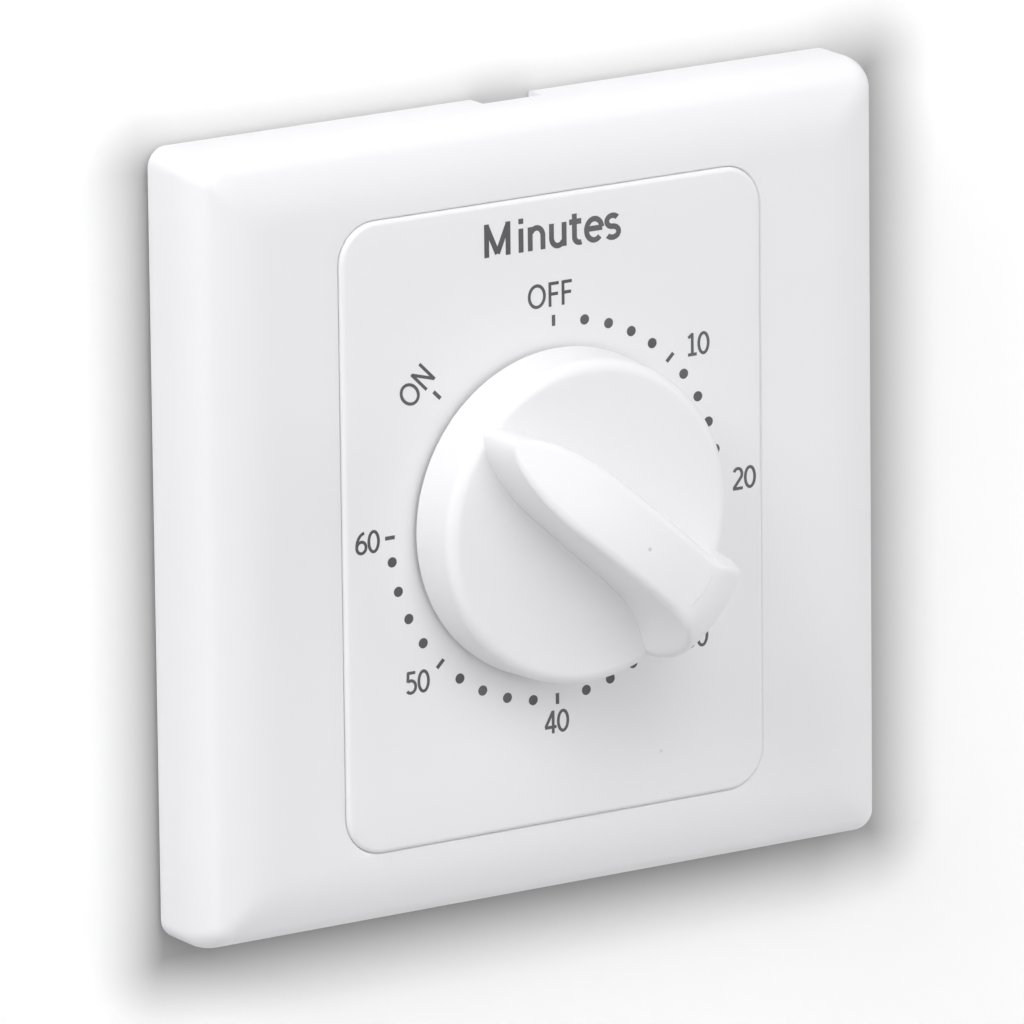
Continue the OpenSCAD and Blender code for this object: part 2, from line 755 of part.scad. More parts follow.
module click_rivet() {
  color("goldenrod") at(click_at) post(click_rivet_r, great_back, great_front + ratchet_t);
}

// Bowed leaf that stands on the great wheel beside the click
leaf_t = 0.3;
leaf_gap = 0.4;
module click_spring() {
  leaf_r = click_d + click_pad_r + leaf_gap;
  color("steelblue") rotate([0, 0, click_angle - 8])
    wedge(leaf_r, leaf_r + leaf_t, 26, great_front, great_front + click_t);
}

// Involute gear: half of a tooth's angle at radius r follows from the base circle
function involute(angle) = tan(angle) * 180 / PI - angle;
function tooth_half(teeth, r) =
  let (pitch = pitch_r(teeth), base = pitch * cos(pressure_angle))
  90 / teeth - tooth_thinning / 2 / pitch * 180 / PI
  + involute(pressure_angle) - involute(acos(min(1, base / r)));
function gear_points(teeth) =
  let (
    flank_steps = 4,
    base = pitch_r(teeth) * cos(pressure_angle),
    start = max(base, root_r(teeth)),
    radii = [for (i = [0:flank_steps]) start + (tip_r(teeth) - start) * i / flank_steps],
    root = min(root_r(teeth), start - 0.01)
  )
  [for (i = [0:teeth - 1]) let (middle = 360 * i / teeth) each concat(
    [polar(root, middle - tooth_half(teeth, start))],
    [for (r = radii) polar(r, middle - tooth_half(teeth, r))],
    [for (k = [flank_steps:-1:0]) polar(radii[k], middle + tooth_half(teeth, radii[k]))],
    [polar(root, middle + tooth_half(teeth, start))]
  )];

module gear(teeth, turn, z0, z1) {
  rotate([0, 0, turn]) translate([0, 0, z0]) linear_extrude(z1 - z0) polygon(gear_points(teeth));
}

great_hole_r = 2;
great_hole_d = (ratchet_r + root_r(great_teeth)) / 2;
module great_wheel() {
  color("ivory") difference() {
    gear(great_teeth, great_turn, great_back, great_front);
    post(shaft_r + running_gap, great_back - over, great_front + over);
    at(click_at) post(click_rivet_r + running_gap, great_back - over, great_front + over);
    for (angle = [150:50:350]) at(polar(great_hole_d, angle))
      post(great_hole_r, great_back - over, great_front + over);
  }
}

clip_rim = 1.6;
module arbor_clip() {
  clip_r = shaft_r + clip_rim;
  mouth = groove_r * 0.8;
  color("silver") difference() {
    ring(groove_r + running_gap, clip_r, arbor_clip_back, arbor_clip_front);
    box(0, clip_r + over, -mouth, mouth, arbor_clip_back - over, arbor_clip_front + over);
  }
}

// Wheel and pinion moulded in one, on a steel arbor
module train_wheel(p, teeth, turn, wheel_z0, wheel_z1, pinion_z0, pinion_z1) {
  at(p) difference() {
    union() {
      gear(teeth, turn, wheel_z0, wheel_z1);
      gear(pinion_teeth, turn, pinion_z0, pinion_z1);
      post(root_r(pinion_teeth), min(wheel_z0, pinion_z0), max(wheel_z1, pinion_z1));
    }
    post(arbor_r + running_gap, back_plate_in, plate_in);
  }
}

module train_arbor(p) {
  at(p) {
    post(arbor_r, back_plate_in + shake, plate_in - shake);
    post(pivot_r, back_plate_out, base_back);
  }
}

module second_wheel() {
  color("ivory") train_wheel(second_at, second_teeth, second_turn, second_back, second_front,
    great_back - pinion_overlap, great_front + pinion_overlap);
}

module third_wheel() {
  color("ivory") train_wheel(third_at, third_teeth, third_turn, third_back, third_front,
    second_back - pinion_overlap, second_front + pinion_overlap);
}

escape_tooth_h = 1.2;
module escape_wheel() {
  color("ivory") at(escape_at) difference() {
    union() {
      translate([0, 0, escape_back]) linear_extrude(escape_t)
        polygon(saw_teeth(escape_teeth, escape_r, escape_r - escape_tooth_h));
      gear(pinion_teeth, escape_turn, third_back - pinion_overlap, third_front + pinion_overlap);
      post(root_r(pinion_teeth), escape_back, third_front);
    }
    post(arbor_r + running_gap, back_plate_in, plate_in);
  }
}

module second_arbor() { color("lightsteelblue") train_arbor(second_at); }
module third_arbor() { color("lightsteelblue") train_arbor(third_at); }
module escape_arbor() { color("lightsteelblue") train_arbor(escape_at); }
module pallet_arbor() { color("lightsteelblue") train_arbor(pallet_at); }

pallet_hub_r = 1.9;
pallet_pad_r = 0.55;
pallet_arm_w = 0.8;
pallet_spread = 48;
module pallet_lever() {
  pad_d = escape_r + pallet_room + pallet_pad_r;
  color("silver") difference() {
    union() {
      at(pallet_at) post(pallet_hub_r, escape_back, escape_front);
      for (s = [-1, 1]) {
        pad = escape_at + polar(pad_d, pallet_heading + s * pallet_spread);
        bar(pallet_at, pad, pallet_arm_w, escape_back, escape_front);
        at(pad) post(pallet_pad_r, escape_back, escape_front);
      }
    }
    at(pallet_at) post(arbor_r + running_gap, escape_back - over, escape_front + over);
  }
}

balance_rim_w = 1.2;
balance_bar_w = 1.4;
balance_hub_r = 1.7;
module balance_wheel() {
  bar_reach = balance_r - balance_rim_w / 2;
  color("goldenrod") at(pallet_at) difference() {
    union() {
      ring(balance_r - balance_rim_w, balance_r, second_back, second_front);
      rotate([0, 0, pallet_heading + 90])
        box(-bar_reach, bar_reach, -balance_bar_w / 2, balance_bar_w / 2, second_back, second_front);
      post(balance_hub_r, second_back, second_front);
    }
    post(arbor_r + running_gap, second_back - over, second_front + over);
  }
}

module insulating_sheet() {
  color("wheat") difference() {
    slab(2 * movement_half, 2 * movement_half, plate_corner, sheet_back, back_plate_out);
    post(rear_pivot_r + 1, sheet_back - over, back_plate_out + over);
  }
}

// Cam with one notch; the follower lies at angle 0 and drops into the notch at the off position
off_turn = 45;
module switch_cam() {
  color("ivory") difference() {
    post(cam_r, cam_back, cam_front);
    at(polar(cam_r + follower_r, off_turn)) post(cam_notch + follower_r, cam_back - over, cam_front + over);
    turned()
      d_bar(rear_pivot_r + running_gap, rear_flat_dist + running_gap, cam_back - over, cam_front + over);
  }
}

module moving_contact() {
  color("peru") {
    box(moving_x, moving_x + strip_t, strip_bottom, strip_top, strip_back, strip_front);
    intersection() {
      at([follower_x, 0]) post(follower_r, strip_back, strip_front);
      box(cam_r, moving_x + strip_t / 2, -follower_r, follower_r, strip_back - over, strip_front + over);
    }
  }
}

module fixed_contact() {
  color("peru") box(fixed_x, fixed_x + strip_t, strip_bottom, strip_top, strip_back, strip_front);
}

// Silver button whose back lies on a contact strip at x
module contact_tip(x) {
  translate([x, contact_y, (strip_front + strip_back) / 2]) rotate([0, 90, 0]) post(contact_r, 0, contact_t);
}

module moving_tip() { color("silver") contact_tip(contact_x); }
module fixed_tip() { color("silver") contact_tip(contact_x + contact_t); }

module clamp_pocket(x0, x1) {
  box(x0, x1, clamp_bottom - seat_gap, clamp_top + 2, clamp_back - seat_gap, sheet_back + over);
}

module terminal_block() {
  color("ivory") difference() {
    box(clamp_a_x - block_wall, clamp_b_x + clamp_w + block_wall, block_bottom, clamp_top + 0.8,
      floor_in, sheet_back);
    clamp_pocket(clamp_a_x - seat_gap, moving_x + strip_t + seat_gap);
    clamp_pocket(fixed_x - seat_gap, clamp_b_x + clamp_w + seat_gap);
    for (x = wire_xs) {
      at([x, wire_y]) post(wire_r + 0.3, floor_in - over, clamp_back);
      translate([x, clamp_bottom, terminal_z]) rotate([90, 0, 0])
        post(terminal_screw_r + screw_gap, -over, clamp_bottom - block_bottom + over);
    }
  }
}

module terminal_clamps() {
  color("goldenrod") for (x = wire_xs) difference() {
    box(x - clamp_w / 2, x + clamp_w / 2, clamp_bottom, clamp_top, clamp_back, clamp_front);
    at([x, wire_y]) post(wire_r, clamp_back - over, clamp_back + wire_depth);
    translate([x, wire_y, terminal_z]) rotate([90, 0, 0])
      post(terminal_screw_r + thread_gap, 0, wire_y - clamp_bottom + over);
  }
}

module terminal_screws() {
  color("silver") for (x = wire_xs) translate([x, terminal_neck, terminal_z]) rotate([90, 0, 0])
    cap_screw(terminal_screw_r, terminal_head_r, terminal_head_h, terminal_tip - terminal_neck);
}

on_wall() front_frame();
on_wall() dial_panel();
on_wall() base_plate();
on_wall() rear_housing();
on_wall() housing_screws();
on_wall() movement_screws();
on_wall() knob();
on_wall() knob_clip();
on_wall() main_arbor();
on_wall() stop_arm();
on_wall() front_bush();
on_wall() movement_front_plate();
on_wall() movement_back_plate();
on_wall() pillars();
on_wall() mainspring();
on_wall() spring_post();
on_wall() ratchet_wheel();
on_wall() click();
on_wall() click_rivet();
on_wall() click_spring();
on_wall() great_wheel();
on_wall() arbor_clip();
on_wall() second_wheel();
on_wall() second_arbor();
on_wall() third_wheel();
on_wall() third_arbor();
on_wall() escape_wheel();
on_wall() escape_arbor();
on_wall() pallet_lever();
on_wall() pallet_arbor();
on_wall() balance_wheel();
on_wall() insulating_sheet();
on_wall() switch_cam();
on_wall() moving_contact();
on_wall() fixed_contact();
on_wall() moving_tip();
on_wall() fixed_tip();
on_wall() terminal_block();
on_wall() terminal_clamps();
on_wall() terminal_screws();
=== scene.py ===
"""Timer light switch: wall plate, printed dial panel and finger-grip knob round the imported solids."""

import json
import logging
import math
from collections.abc import Callable
from dataclasses import dataclass, field
from enum import Enum

import bmesh
import bpy
import numpy as np
from mathutils import Matrix, Vector


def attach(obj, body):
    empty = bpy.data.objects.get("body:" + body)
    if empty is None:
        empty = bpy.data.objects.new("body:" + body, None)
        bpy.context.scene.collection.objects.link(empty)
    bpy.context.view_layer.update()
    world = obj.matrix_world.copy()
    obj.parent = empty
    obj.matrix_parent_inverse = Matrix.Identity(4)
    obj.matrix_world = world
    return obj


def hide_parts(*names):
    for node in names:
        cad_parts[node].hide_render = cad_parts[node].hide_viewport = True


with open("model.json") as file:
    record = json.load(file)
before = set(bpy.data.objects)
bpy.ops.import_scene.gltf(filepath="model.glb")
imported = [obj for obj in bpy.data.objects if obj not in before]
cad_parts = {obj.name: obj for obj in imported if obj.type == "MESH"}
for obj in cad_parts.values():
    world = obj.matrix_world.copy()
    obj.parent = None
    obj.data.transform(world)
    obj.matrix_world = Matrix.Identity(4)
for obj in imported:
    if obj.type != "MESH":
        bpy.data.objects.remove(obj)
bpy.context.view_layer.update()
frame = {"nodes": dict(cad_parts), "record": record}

# One millimetre, and the distance within which points merge, in metres
MM = 0.001
MERGE = 1e-6
# Degrees above which an edge stays crisp
CRISP_ANGLE = 32.0
# Millimetres between the panel and the frame's window
PANEL_GAP = 0.025
# Points on each curved stroke of the print
BOW_POINTS = 33
# Values that noise seldom leaves
NOISE_SPAN = (0.2, 0.8)
# Distance at which a tree's nodes are drawn side by side
NODE_PITCH = 200.0
WHITE_LIGHT = (1.0, 1.0, 1.0, 1.0)
LOG = logging.getLogger("timer_switch")

Array = np.ndarray
Patch = tuple[Array, Array]
Pair = tuple[float, float]
Triple = tuple[float, float, float]
Colour = Triple
Tree = bpy.types.NodeTree
Node = bpy.types.Node
Socket = bpy.types.NodeSocket
Material = bpy.types.Material
Piece = bpy.types.Object


class Body(Enum):
    """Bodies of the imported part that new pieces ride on."""

    CASE = "case"
    KNOB = "knob_shaft"


class Slot(Enum):
    """The record's material slots."""

    WHITE = "white_gloss"
    GREY = "grey_plastic"
    NYLON = "nylon"
    STEEL = "steel"
    SPRING = "spring_steel"
    BRASS = "brass"
    BRONZE = "bronze"
    SILVER = "silver"
    FIBRE = "fibre"


# Surfaces on grids


def row_frame(points: Array) -> Array:
    """Turns face coordinates in mm (x right, y up, z to the room) into the row frame in m: (x, -z, y)."""
    return np.stack([points[..., 0], -points[..., 2], points[..., 1]], axis=-1) * MM


def grid_faces(rows: int, columns: int, wrap_rows: bool, wrap_columns: bool) -> Array:
    """Quads of a grid: each cell joins a point to its neighbours in the next row and the next column.

    Args:
        rows: Number of rows of points.
        columns: Number of columns of points.
        wrap_rows: Whether the last row joins the first.
        wrap_columns: Whether the last column joins the first.

    Returns:
        Indices of shape (cells, 4).
    """
    row = np.arange(rows if wrap_rows else rows - 1)
    column = np.arange(columns if wrap_columns else columns - 1)
    r0, c0 = np.meshgrid(row, column, indexing="ij")
    r1, c1 = (r0 + 1) % rows, (c0 + 1) % columns
    cells = [r0 * columns + c0, r0 * columns + c1, r1 * columns + c1, r1 * columns + c0]
    return np.stack(cells, axis=-1).reshape(-1, 4)


def grid_patch(points: Array, wrap_rows: bool, wrap_columns: bool) -> Patch:
    """Patch of a grid of shape (rows, columns, 3): the flat list of points and the quads."""
    faces = grid_faces(points.shape[0], points.shape[1], wrap_rows, wrap_columns)
    return points.reshape(-1, 3), faces


def arc(centre: Pair, radius: float, start: float, end: float, steps: int) -> Array:
    """Points on a circle's arc in steps: centre + radius (cos a, sin a), a from start to end in degrees."""
    angle = np.radians(np.linspace(start, end, steps + 1))
    return np.stack([centre[0] + radius * np.cos(angle), centre[1] + radius * np.sin(angle)], axis=-1)


def ramp(value: Array, low: float, high: float) -> Array:
    """Smooth step from 0 at low to 1 at high: 3 t^2 - 2 t^3."""
    t = np.clip((value - low) / (high - low), 0.0, 1.0)
    return t * t * (3.0 - 2.0 * t)


def between(steps: int) -> Array:
    """Shares of the way at the inner points of a stretch in steps, as a column."""
    return np.linspace(0.0, 1.0, steps + 1)[1:-1, None]


@dataclass
class RingPath:
    """Columns round a rounded rectangle: corner arcs and straight sides, anticlockwise from the right."""

    corner_steps: int
    side_shares: tuple[tuple[float, ...], ...]
    corner: Array = field(init=False)
    share: Array = field(init=False)
    angle: Array = field(init=False)

    def __post_init__(self) -> None:
        """Lays out each column's corner, its share of the way to the next corner, and its outward angle."""
        turns = np.linspace(0.0, 90.0, self.corner_steps + 1)
        corner, share, angle = [], [], []
        for i, shares in enumerate(self.side_shares):
            corner.append(np.full(len(turns) + len(shares), i))
            share.append(np.concatenate([np.zeros(len(turns)), np.asarray(shares)]))
            angle.append(np.concatenate([90.0 * i + turns, np.full(len(shares), 90.0 * (i + 1))]))
        self.corner = np.concatenate(corner)
        self.share = np.concatenate(share)
        self.angle = np.radians(np.concatenate(angle))

    def rings(self, half_w: Array, half_h: Array, radius: Array) -> Array:
        """Rings of the given sizes.

        Each point is its corner's centre, carried along the side by the share, plus the radius times the
        outward direction.

        Args:
            half_w: Half the width of each ring.
            half_h: Half the height of each ring.
            radius: Corner radius of each ring.

        Returns:
            Plan points of shape (rings, columns, 2).
        """
        sign_x, sign_y = np.array([1, -1, -1, 1]), np.array([1, 1, -1, -1])
        after = (self.corner + 1) % 4
        along_x = sign_x[self.corner] * (1 - self.share) + sign_x[after] * self.share
        along_y = sign_y[self.corner] * (1 - self.share) + sign_y[after] * self.share
        reach_x, reach_y = (half_w - radius)[:, None], (half_h - radius)[:, None]
        x = reach_x * along_x + radius[:, None] * np.cos(self.angle)
        y = reach_y * along_y + radius[:, None] * np.sin(self.angle)
        return np.stack([x, y], axis=-1)


def ring_rows(half: Array, radius: Array | float, height: Array) -> Array:
    """Rows of half width, equal half height, corner radius and height, one for each ring."""
    return np.stack(np.broadcast_arrays(half, half, radius, height), axis=-1)


def lofted(path: RingPath, rows: Array) -> Array:
    """Grid of rings stacked by height.

    Args:
        path: Columns round the rings.
        rows: Array of shape (rings, 4): half width, half height, corner radius and height of each ring.

    Returns:
        Points of shape (rings, columns, 3).
    """
    plan = path.rings(rows[:, 0], rows[:, 1], rows[:, 2])
    height = np.broadcast_to(rows[:, 3, None, None], plan.shape[:2] + (1,))
    return np.concatenate([plan, height], axis=-1)


def revolved(profile: Array, columns: int) -> Array:
    """Carries a profile of radius and height round the axis: (r cos a, r sin a, z).

    Args:
        profile: Points of shape (rows, 2).
        columns: Number of columns round the axis.

    Returns:
        Points of shape (rows, columns, 3).
    """
    angle = np.linspace(0.0, 2.0 * np.pi, columns, endpoint=False)
    x = profile[:, 0, None] * np.cos(angle)
    y = profile[:, 0, None] * np.sin(angle)
    z = np.broadcast_to(profile[:, 1, None], x.shape)
    return np.stack([x, y, z], axis=-1)


def placed(name: str, data: bpy.types.ID) -> Piece:
    """Puts a mesh, a lamp or a camera into the scene as a new object at the origin.

    Args:
        name: Name of the object.
        data: What the object shows.

    Returns:
        The new object.
    """
    made = bpy.data.objects.new(name, data)
    bpy.context.scene.collection.objects.link(made)
    return made


def shaded(mesh: bpy.types.Mesh, crisp_angle: float = CRISP_ANGLE) -> None:
    """Shades a mesh smooth, except at edges that bend by more than the crisp angle in degrees."""
    mesh.shade_smooth()
    mesh.set_sharp_from_angle(angle=math.radians(crisp_angle))


def cleaned(mesh: bpy.types.Mesh) -> None:
    """Merges a mesh's doubles, removes faces without area, turns the rest outwards and shades them.

    Args:
        mesh: Mesh that is changed in place.
    """
    shape = bmesh.new()
    shape.from_mesh(mesh)
    bmesh.ops.remove_doubles(shape, verts=shape.verts[:], dist=MERGE)
    bmesh.ops.dissolve_degenerate(shape, edges=shape.edges[:], dist=MERGE)
    bmesh.ops.recalc_face_normals(shape, faces=shape.faces[:])
    shape.to_mesh(mesh)
    shape.free()
    shaded(mesh)


def mesh_object(name: str, patches: list[Patch]) -> Piece:
    """Joins patches into one clean mesh.

    Args:
        name: Name of the piece.
        patches: Points in face coordinates with their faces.

    Returns:
        The new object at the origin.
    """
    offsets = np.cumsum([0] + [len(points) for points, _ in patches[:-1]])
    points = row_frame(np.concatenate([points for points, _ in patches]))
    faces = np.concatenate([faces + offset for (_, faces), offset in zip(patches, offsets)])
    mesh = bpy.data.meshes.new(name)
    mesh.from_pydata(points.tolist(), [], faces.tolist())
    cleaned(mesh)
    return placed(name, mesh)


def joined(base: Piece, tool: Piece) -> None:
    """Joins the tool to the base as one closed mesh and removes the tool.

    Args:
        base: Object that keeps the joined mesh.
        tool: Object that is joined to it.
    """
    union = base.modifiers.new("union", "BOOLEAN")
    union.operation = "UNION"
    union.solver = "EXACT"
    union.object = tool
    bpy.context.view_layer.update()
    graph = bpy.context.evaluated_depsgraph_get()
    mesh = bpy.data.meshes.new_from_object(base.evaluated_get(graph))
    base.modifiers.clear()
    base.data = mesh
    cleaned(mesh)
    bpy.data.objects.remove(tool)


# Finishes


def plug(tree: Tree, slot: Socket, value: object) -> None:
    """Links a socket to an input, or sets the input to a plain value.

    Args:
        tree: Tree that holds the input.
        slot: The input.
        value: A socket, a number, a vector or a colour.
    """
    if isinstance(value, Socket):
        tree.links.new(value, slot)
    else:
        slot.default_value = value


def node(tree: Tree, kind: str, *ordered: object, **named: object) -> Node:
    """Adds a shader node at the end of the row and fills its inputs, by order or by name.

    Args:
        tree: Tree that gets the node.
        kind: Blender's name of the node type.
        *ordered: Sockets or values for its first inputs.
        **named: Sockets or values for its inputs by name, with spaces written as underscores.

    Returns:
        The new node.
    """
    made = tree.nodes.new(kind)
    made.location.x = NODE_PITCH * len(tree.nodes)
    for slot, value in zip(made.inputs, ordered):
        plug(tree, slot, value)
    for name, value in named.items():
        plug(tree, made.inputs[name.replace("_", " ")], value)
    return made


def maths(tree: Tree, operation: str, *values: object) -> Socket:
    """Adds a Math node.

    Args:
        tree: Tree that gets the node.
        operation: Blender's name of the operation.
        *values: Its inputs in order, each a socket or a number.

    Returns:
        The result's socket.
    """
    made = node(tree, "ShaderNodeMath", *values)
    made.operation = operation
    return made.outputs[0]


def effect_group(name: str, inputs: dict[str, float], outputs: tuple[str, ...]) -> tuple[Tree, Node, Node]:
    """Makes a node group with a Vector input, the given number inputs and the given value outputs.

    Args:
        name: Name of the group.
        inputs: Number inputs with their defaults.
        outputs: Names of the value outputs.

    Returns:
        The tree, its input node and its output node.
    """
    tree = bpy.data.node_groups.new(name, "ShaderNodeTree")
    tree.interface.new_socket("Vector", in_out="INPUT", socket_type="NodeSocketVector")
    for key, value in inputs.items():
        socket = tree.interface.new_socket(key, in_out="INPUT", socket_type="NodeSocketFloat")
        socket.default_value = value
    for key in outputs:
        tree.interface.new_socket(key, in_out="OUTPUT", socket_type="NodeSocketFloat")
    return tree, node(tree, "NodeGroupInput"), node(tree, "NodeGroupOutput")


def moulded_skin() -> Tree:
    """Moulded plastic: fine peel for the height, broad flow marks for the tone and patches of gloss.

    Returns:
        The node group.
    """
    scale_shares = {"Height": 1.0, "Tone": 0.035, "Gloss": 0.22}
    tree, given, put = effect_group("moulded_skin", {"Scale": 900.0}, tuple(scale_shares))
    where = given.outputs["Vector"]
    for name, share in scale_shares.items():
        scale = maths(tree, "MULTIPLY", given.outputs["Scale"], share)
        noise = node(tree, "ShaderNodeTexNoise", Vector=where, Scale=scale, Detail=1.0, Roughness=0.55)
        plug(tree, put.inputs[name], noise.outputs["Fac"])
    return tree


def stray_specks() -> Tree:
    """Dust and pin marks: a small soft spot in a few cells of a cell pattern.

    Returns:
        The node group.
    """
    inputs = {"Scale": 160.0, "Amount": 0.1, "Size": 0.05}
    tree, given, put = effect_group("stray_specks", inputs, ("Mask",))
    cells = node(tree, "ShaderNodeTexVoronoi", Vector=given.outputs["Vector"], Scale=given.outputs["Scale"])
    chance = node(tree, "ShaderNodeSeparateColor", Color=cells.outputs["Color"])
    chosen = maths(tree, "LESS_THAN", chance.outputs["Red"], given.outputs["Amount"])
    near = maths(tree, "DIVIDE", cells.outputs["Distance"], given.outputs["Size"])
    spot = maths(tree, "SUBTRACT", 1.0, near)
    spot.node.use_clamp = True
    plug(tree, put.inputs["Mask"], maths(tree, "MULTIPLY", spot, chosen))
    return tree


def drawn_lines() -> Tree:
    """Rolled or drawn metal: noise stretched along one direction, with cloudy patches over it.

    Returns:
        The node group.
    """
    stretch = (0.04, 1.0, 1.0)
    tree, given, put = effect_group("drawn_lines", {"Scale": 2400.0, "Cloud": 120.0}, ("Height", "Tone"))
    where = given.outputs["Vector"]
    drawn = node(tree, "ShaderNodeMapping", Vector=where, Scale=stretch)
    lines = node(tree, "ShaderNodeTexNoise", Vector=drawn.outputs["Vector"], Detail=3.0)
    clouds = node(tree, "ShaderNodeTexNoise", Vector=where, Detail=4.0)
    for noise, scale, name in ((lines, "Scale", "Height"), (clouds, "Cloud", "Tone")):
        plug(tree, noise.inputs["Scale"], given.outputs[scale])
        plug(tree, put.inputs[name], noise.outputs["Fac"])
    return tree


def effect_node(tree: Tree, effect: Callable[[], Tree], **values: float) -> Node:
    """Places a shared effect in a material, fed with Object coordinates, and builds it where it is new.

    Args:
        tree: The material's tree.
        effect: Function that builds the shared effect's group under its own name.
        **values: Values of the effect's own inputs.

    Returns:
        The group node.
    """
    where = tree.nodes.get("Texture Coordinate") or node(tree, "ShaderNodeTexCoord")
    made = node(tree, "ShaderNodeGroup")
    made.node_tree = bpy.data.node_groups.get(effect.__name__) or effect()
    for name, value in {"Vector": where.outputs["Object"], **values}.items():
        plug(tree, made.inputs[name], value)
    return made


def blend(tree: Tree, mask: Socket, low: Colour | Socket, high: Colour) -> Socket:
    """Mixes two colours by a mask.

    Args:
        tree: The material's tree.
        mask: Socket from 0 to 1.
        low: Colour, or colour socket, where the mask is 0.
        high: Colour where the mask is 1.

    Returns:
        The mixed colour's socket.
    """
    first_colour, second_colour, mixed_colour = 6, 7, 2
    mix = node(tree, "ShaderNodeMix", mask)
    mix.data_type = "RGBA"
    plug(tree, mix.inputs[first_colour], low if isinstance(low, Socket) else (*low, 1.0))
    plug(tree, mix.inputs[second_colour], (*high, 1.0))
    return mix.outputs[mixed_colour]


def spread(tree: Tree, value: Socket, low: float, high: float) -> Socket:
    """Maps the span that noise mostly fills to a range, along a smooth step.

    Args:
        tree: The material's tree.
        value: Noise value from 0 to 1.
        low: Result at the span's low end.
        high: Result at the span's high end.

    Returns:
        The mapped value's socket.
    """
    fit = node(tree, "ShaderNodeMapRange", value, *NOISE_SPAN, low, high)
    fit.interpolation_type = "SMOOTHSTEP"
    return fit.outputs["Result"]


def fresh_tree(name: str) -> tuple[Material, Tree, Node]:
    """Makes a material with one Principled shader.

    Args:
        name: Name of the material.

    Returns:
        The material, its tree and the shader node.
    """
    material = bpy.data.materials.new(name)
    material.use_nodes = True
    tree = material.node_tree
    return material, tree, tree.nodes["Principled BSDF"]


def dress_shader(
    tree: Tree, shader: Node, colour: Socket, rough: Socket, height: Socket, bump: Pair,
) -> None:
    """Feeds a Principled shader with a colour, a roughness and a bump.

    Args:
        tree: The material's tree.
        shader: The Principled shader.
        colour: Colour socket.
        rough: Roughness socket.
        height: Socket of the bump's height.
        bump: The bump's strength, and its depth in metres.
    """
    strength, depth = bump
    bumped = node(tree, "ShaderNodeBump", Strength=strength, Distance=depth, Height=height)
    plug(tree, shader.inputs["Base Color"], colour)
    plug(tree, shader.inputs["Roughness"], rough)
    plug(tree, shader.inputs["Normal"], bumped.outputs["Normal"])


@dataclass(frozen=True)
class PlasticFinish:
    """Moulded plastic with peel, flow marks and a few specks of dust."""

    name: str
    colour: Colour
    deep: Colour
    rough: Pair
    peel_scale: float
    peel_depth: float
    peel_strength: float = 0.6
    specks: float = 0.0
    speck_colour: Colour = (0.45, 0.44, 0.43)
    specular: float = 0.5

    def material(self) -> Material:
        """Builds the finish: tone and specks feed the colour, gloss the roughness, peel the bump.

        Returns:
            The new material.
        """
        material, tree, shader = fresh_tree(self.name)
        skin = effect_node(tree, moulded_skin, Scale=self.peel_scale)
        tone = spread(tree, skin.outputs["Tone"], 0.0, 1.0)
        colour = blend(tree, tone, self.deep, self.colour)
        if self.specks:
            dust = effect_node(tree, stray_specks, Amount=self.specks)
            colour = blend(tree, dust.outputs["Mask"], colour, self.speck_colour)
        rough = spread(tree, skin.outputs["Gloss"], *self.rough)
        bump = (self.peel_strength, self.peel_depth)
        dress_shader(tree, shader, colour, rough, skin.outputs["Height"], bump)
        shader.inputs["Specular IOR Level"].default_value = self.specular
        return material


@dataclass(frozen=True)
class MetalFinish:
    """Drawn or rolled metal with fine lines and cloudy tarnish."""

    name: str
    colour: Colour
    dull: Colour
    rough: Pair
    line_scale: float = 2400.0
    line_depth: float = 0.000004
    line_strength: float = 0.7

    def material(self) -> Material:
        """Builds the finish: clouds feed the colour and roughness, lines the bump.

        Returns:
            The new material.
        """
        material, tree, shader = fresh_tree(self.name)
        lines = effect_node(tree, drawn_lines, Scale=self.line_scale)
        tone = spread(tree, lines.outputs["Tone"], 0.0, 1.0)
        colour = blend(tree, tone, self.dull, self.colour)
        rough = spread(tree, lines.outputs["Tone"], *reversed(self.rough))
        bump = (self.line_strength, self.line_depth)
        dress_shader(tree, shader, colour, rough, lines.outputs["Height"], bump)
        shader.inputs["Metallic"].default_value = 1.0
        return material


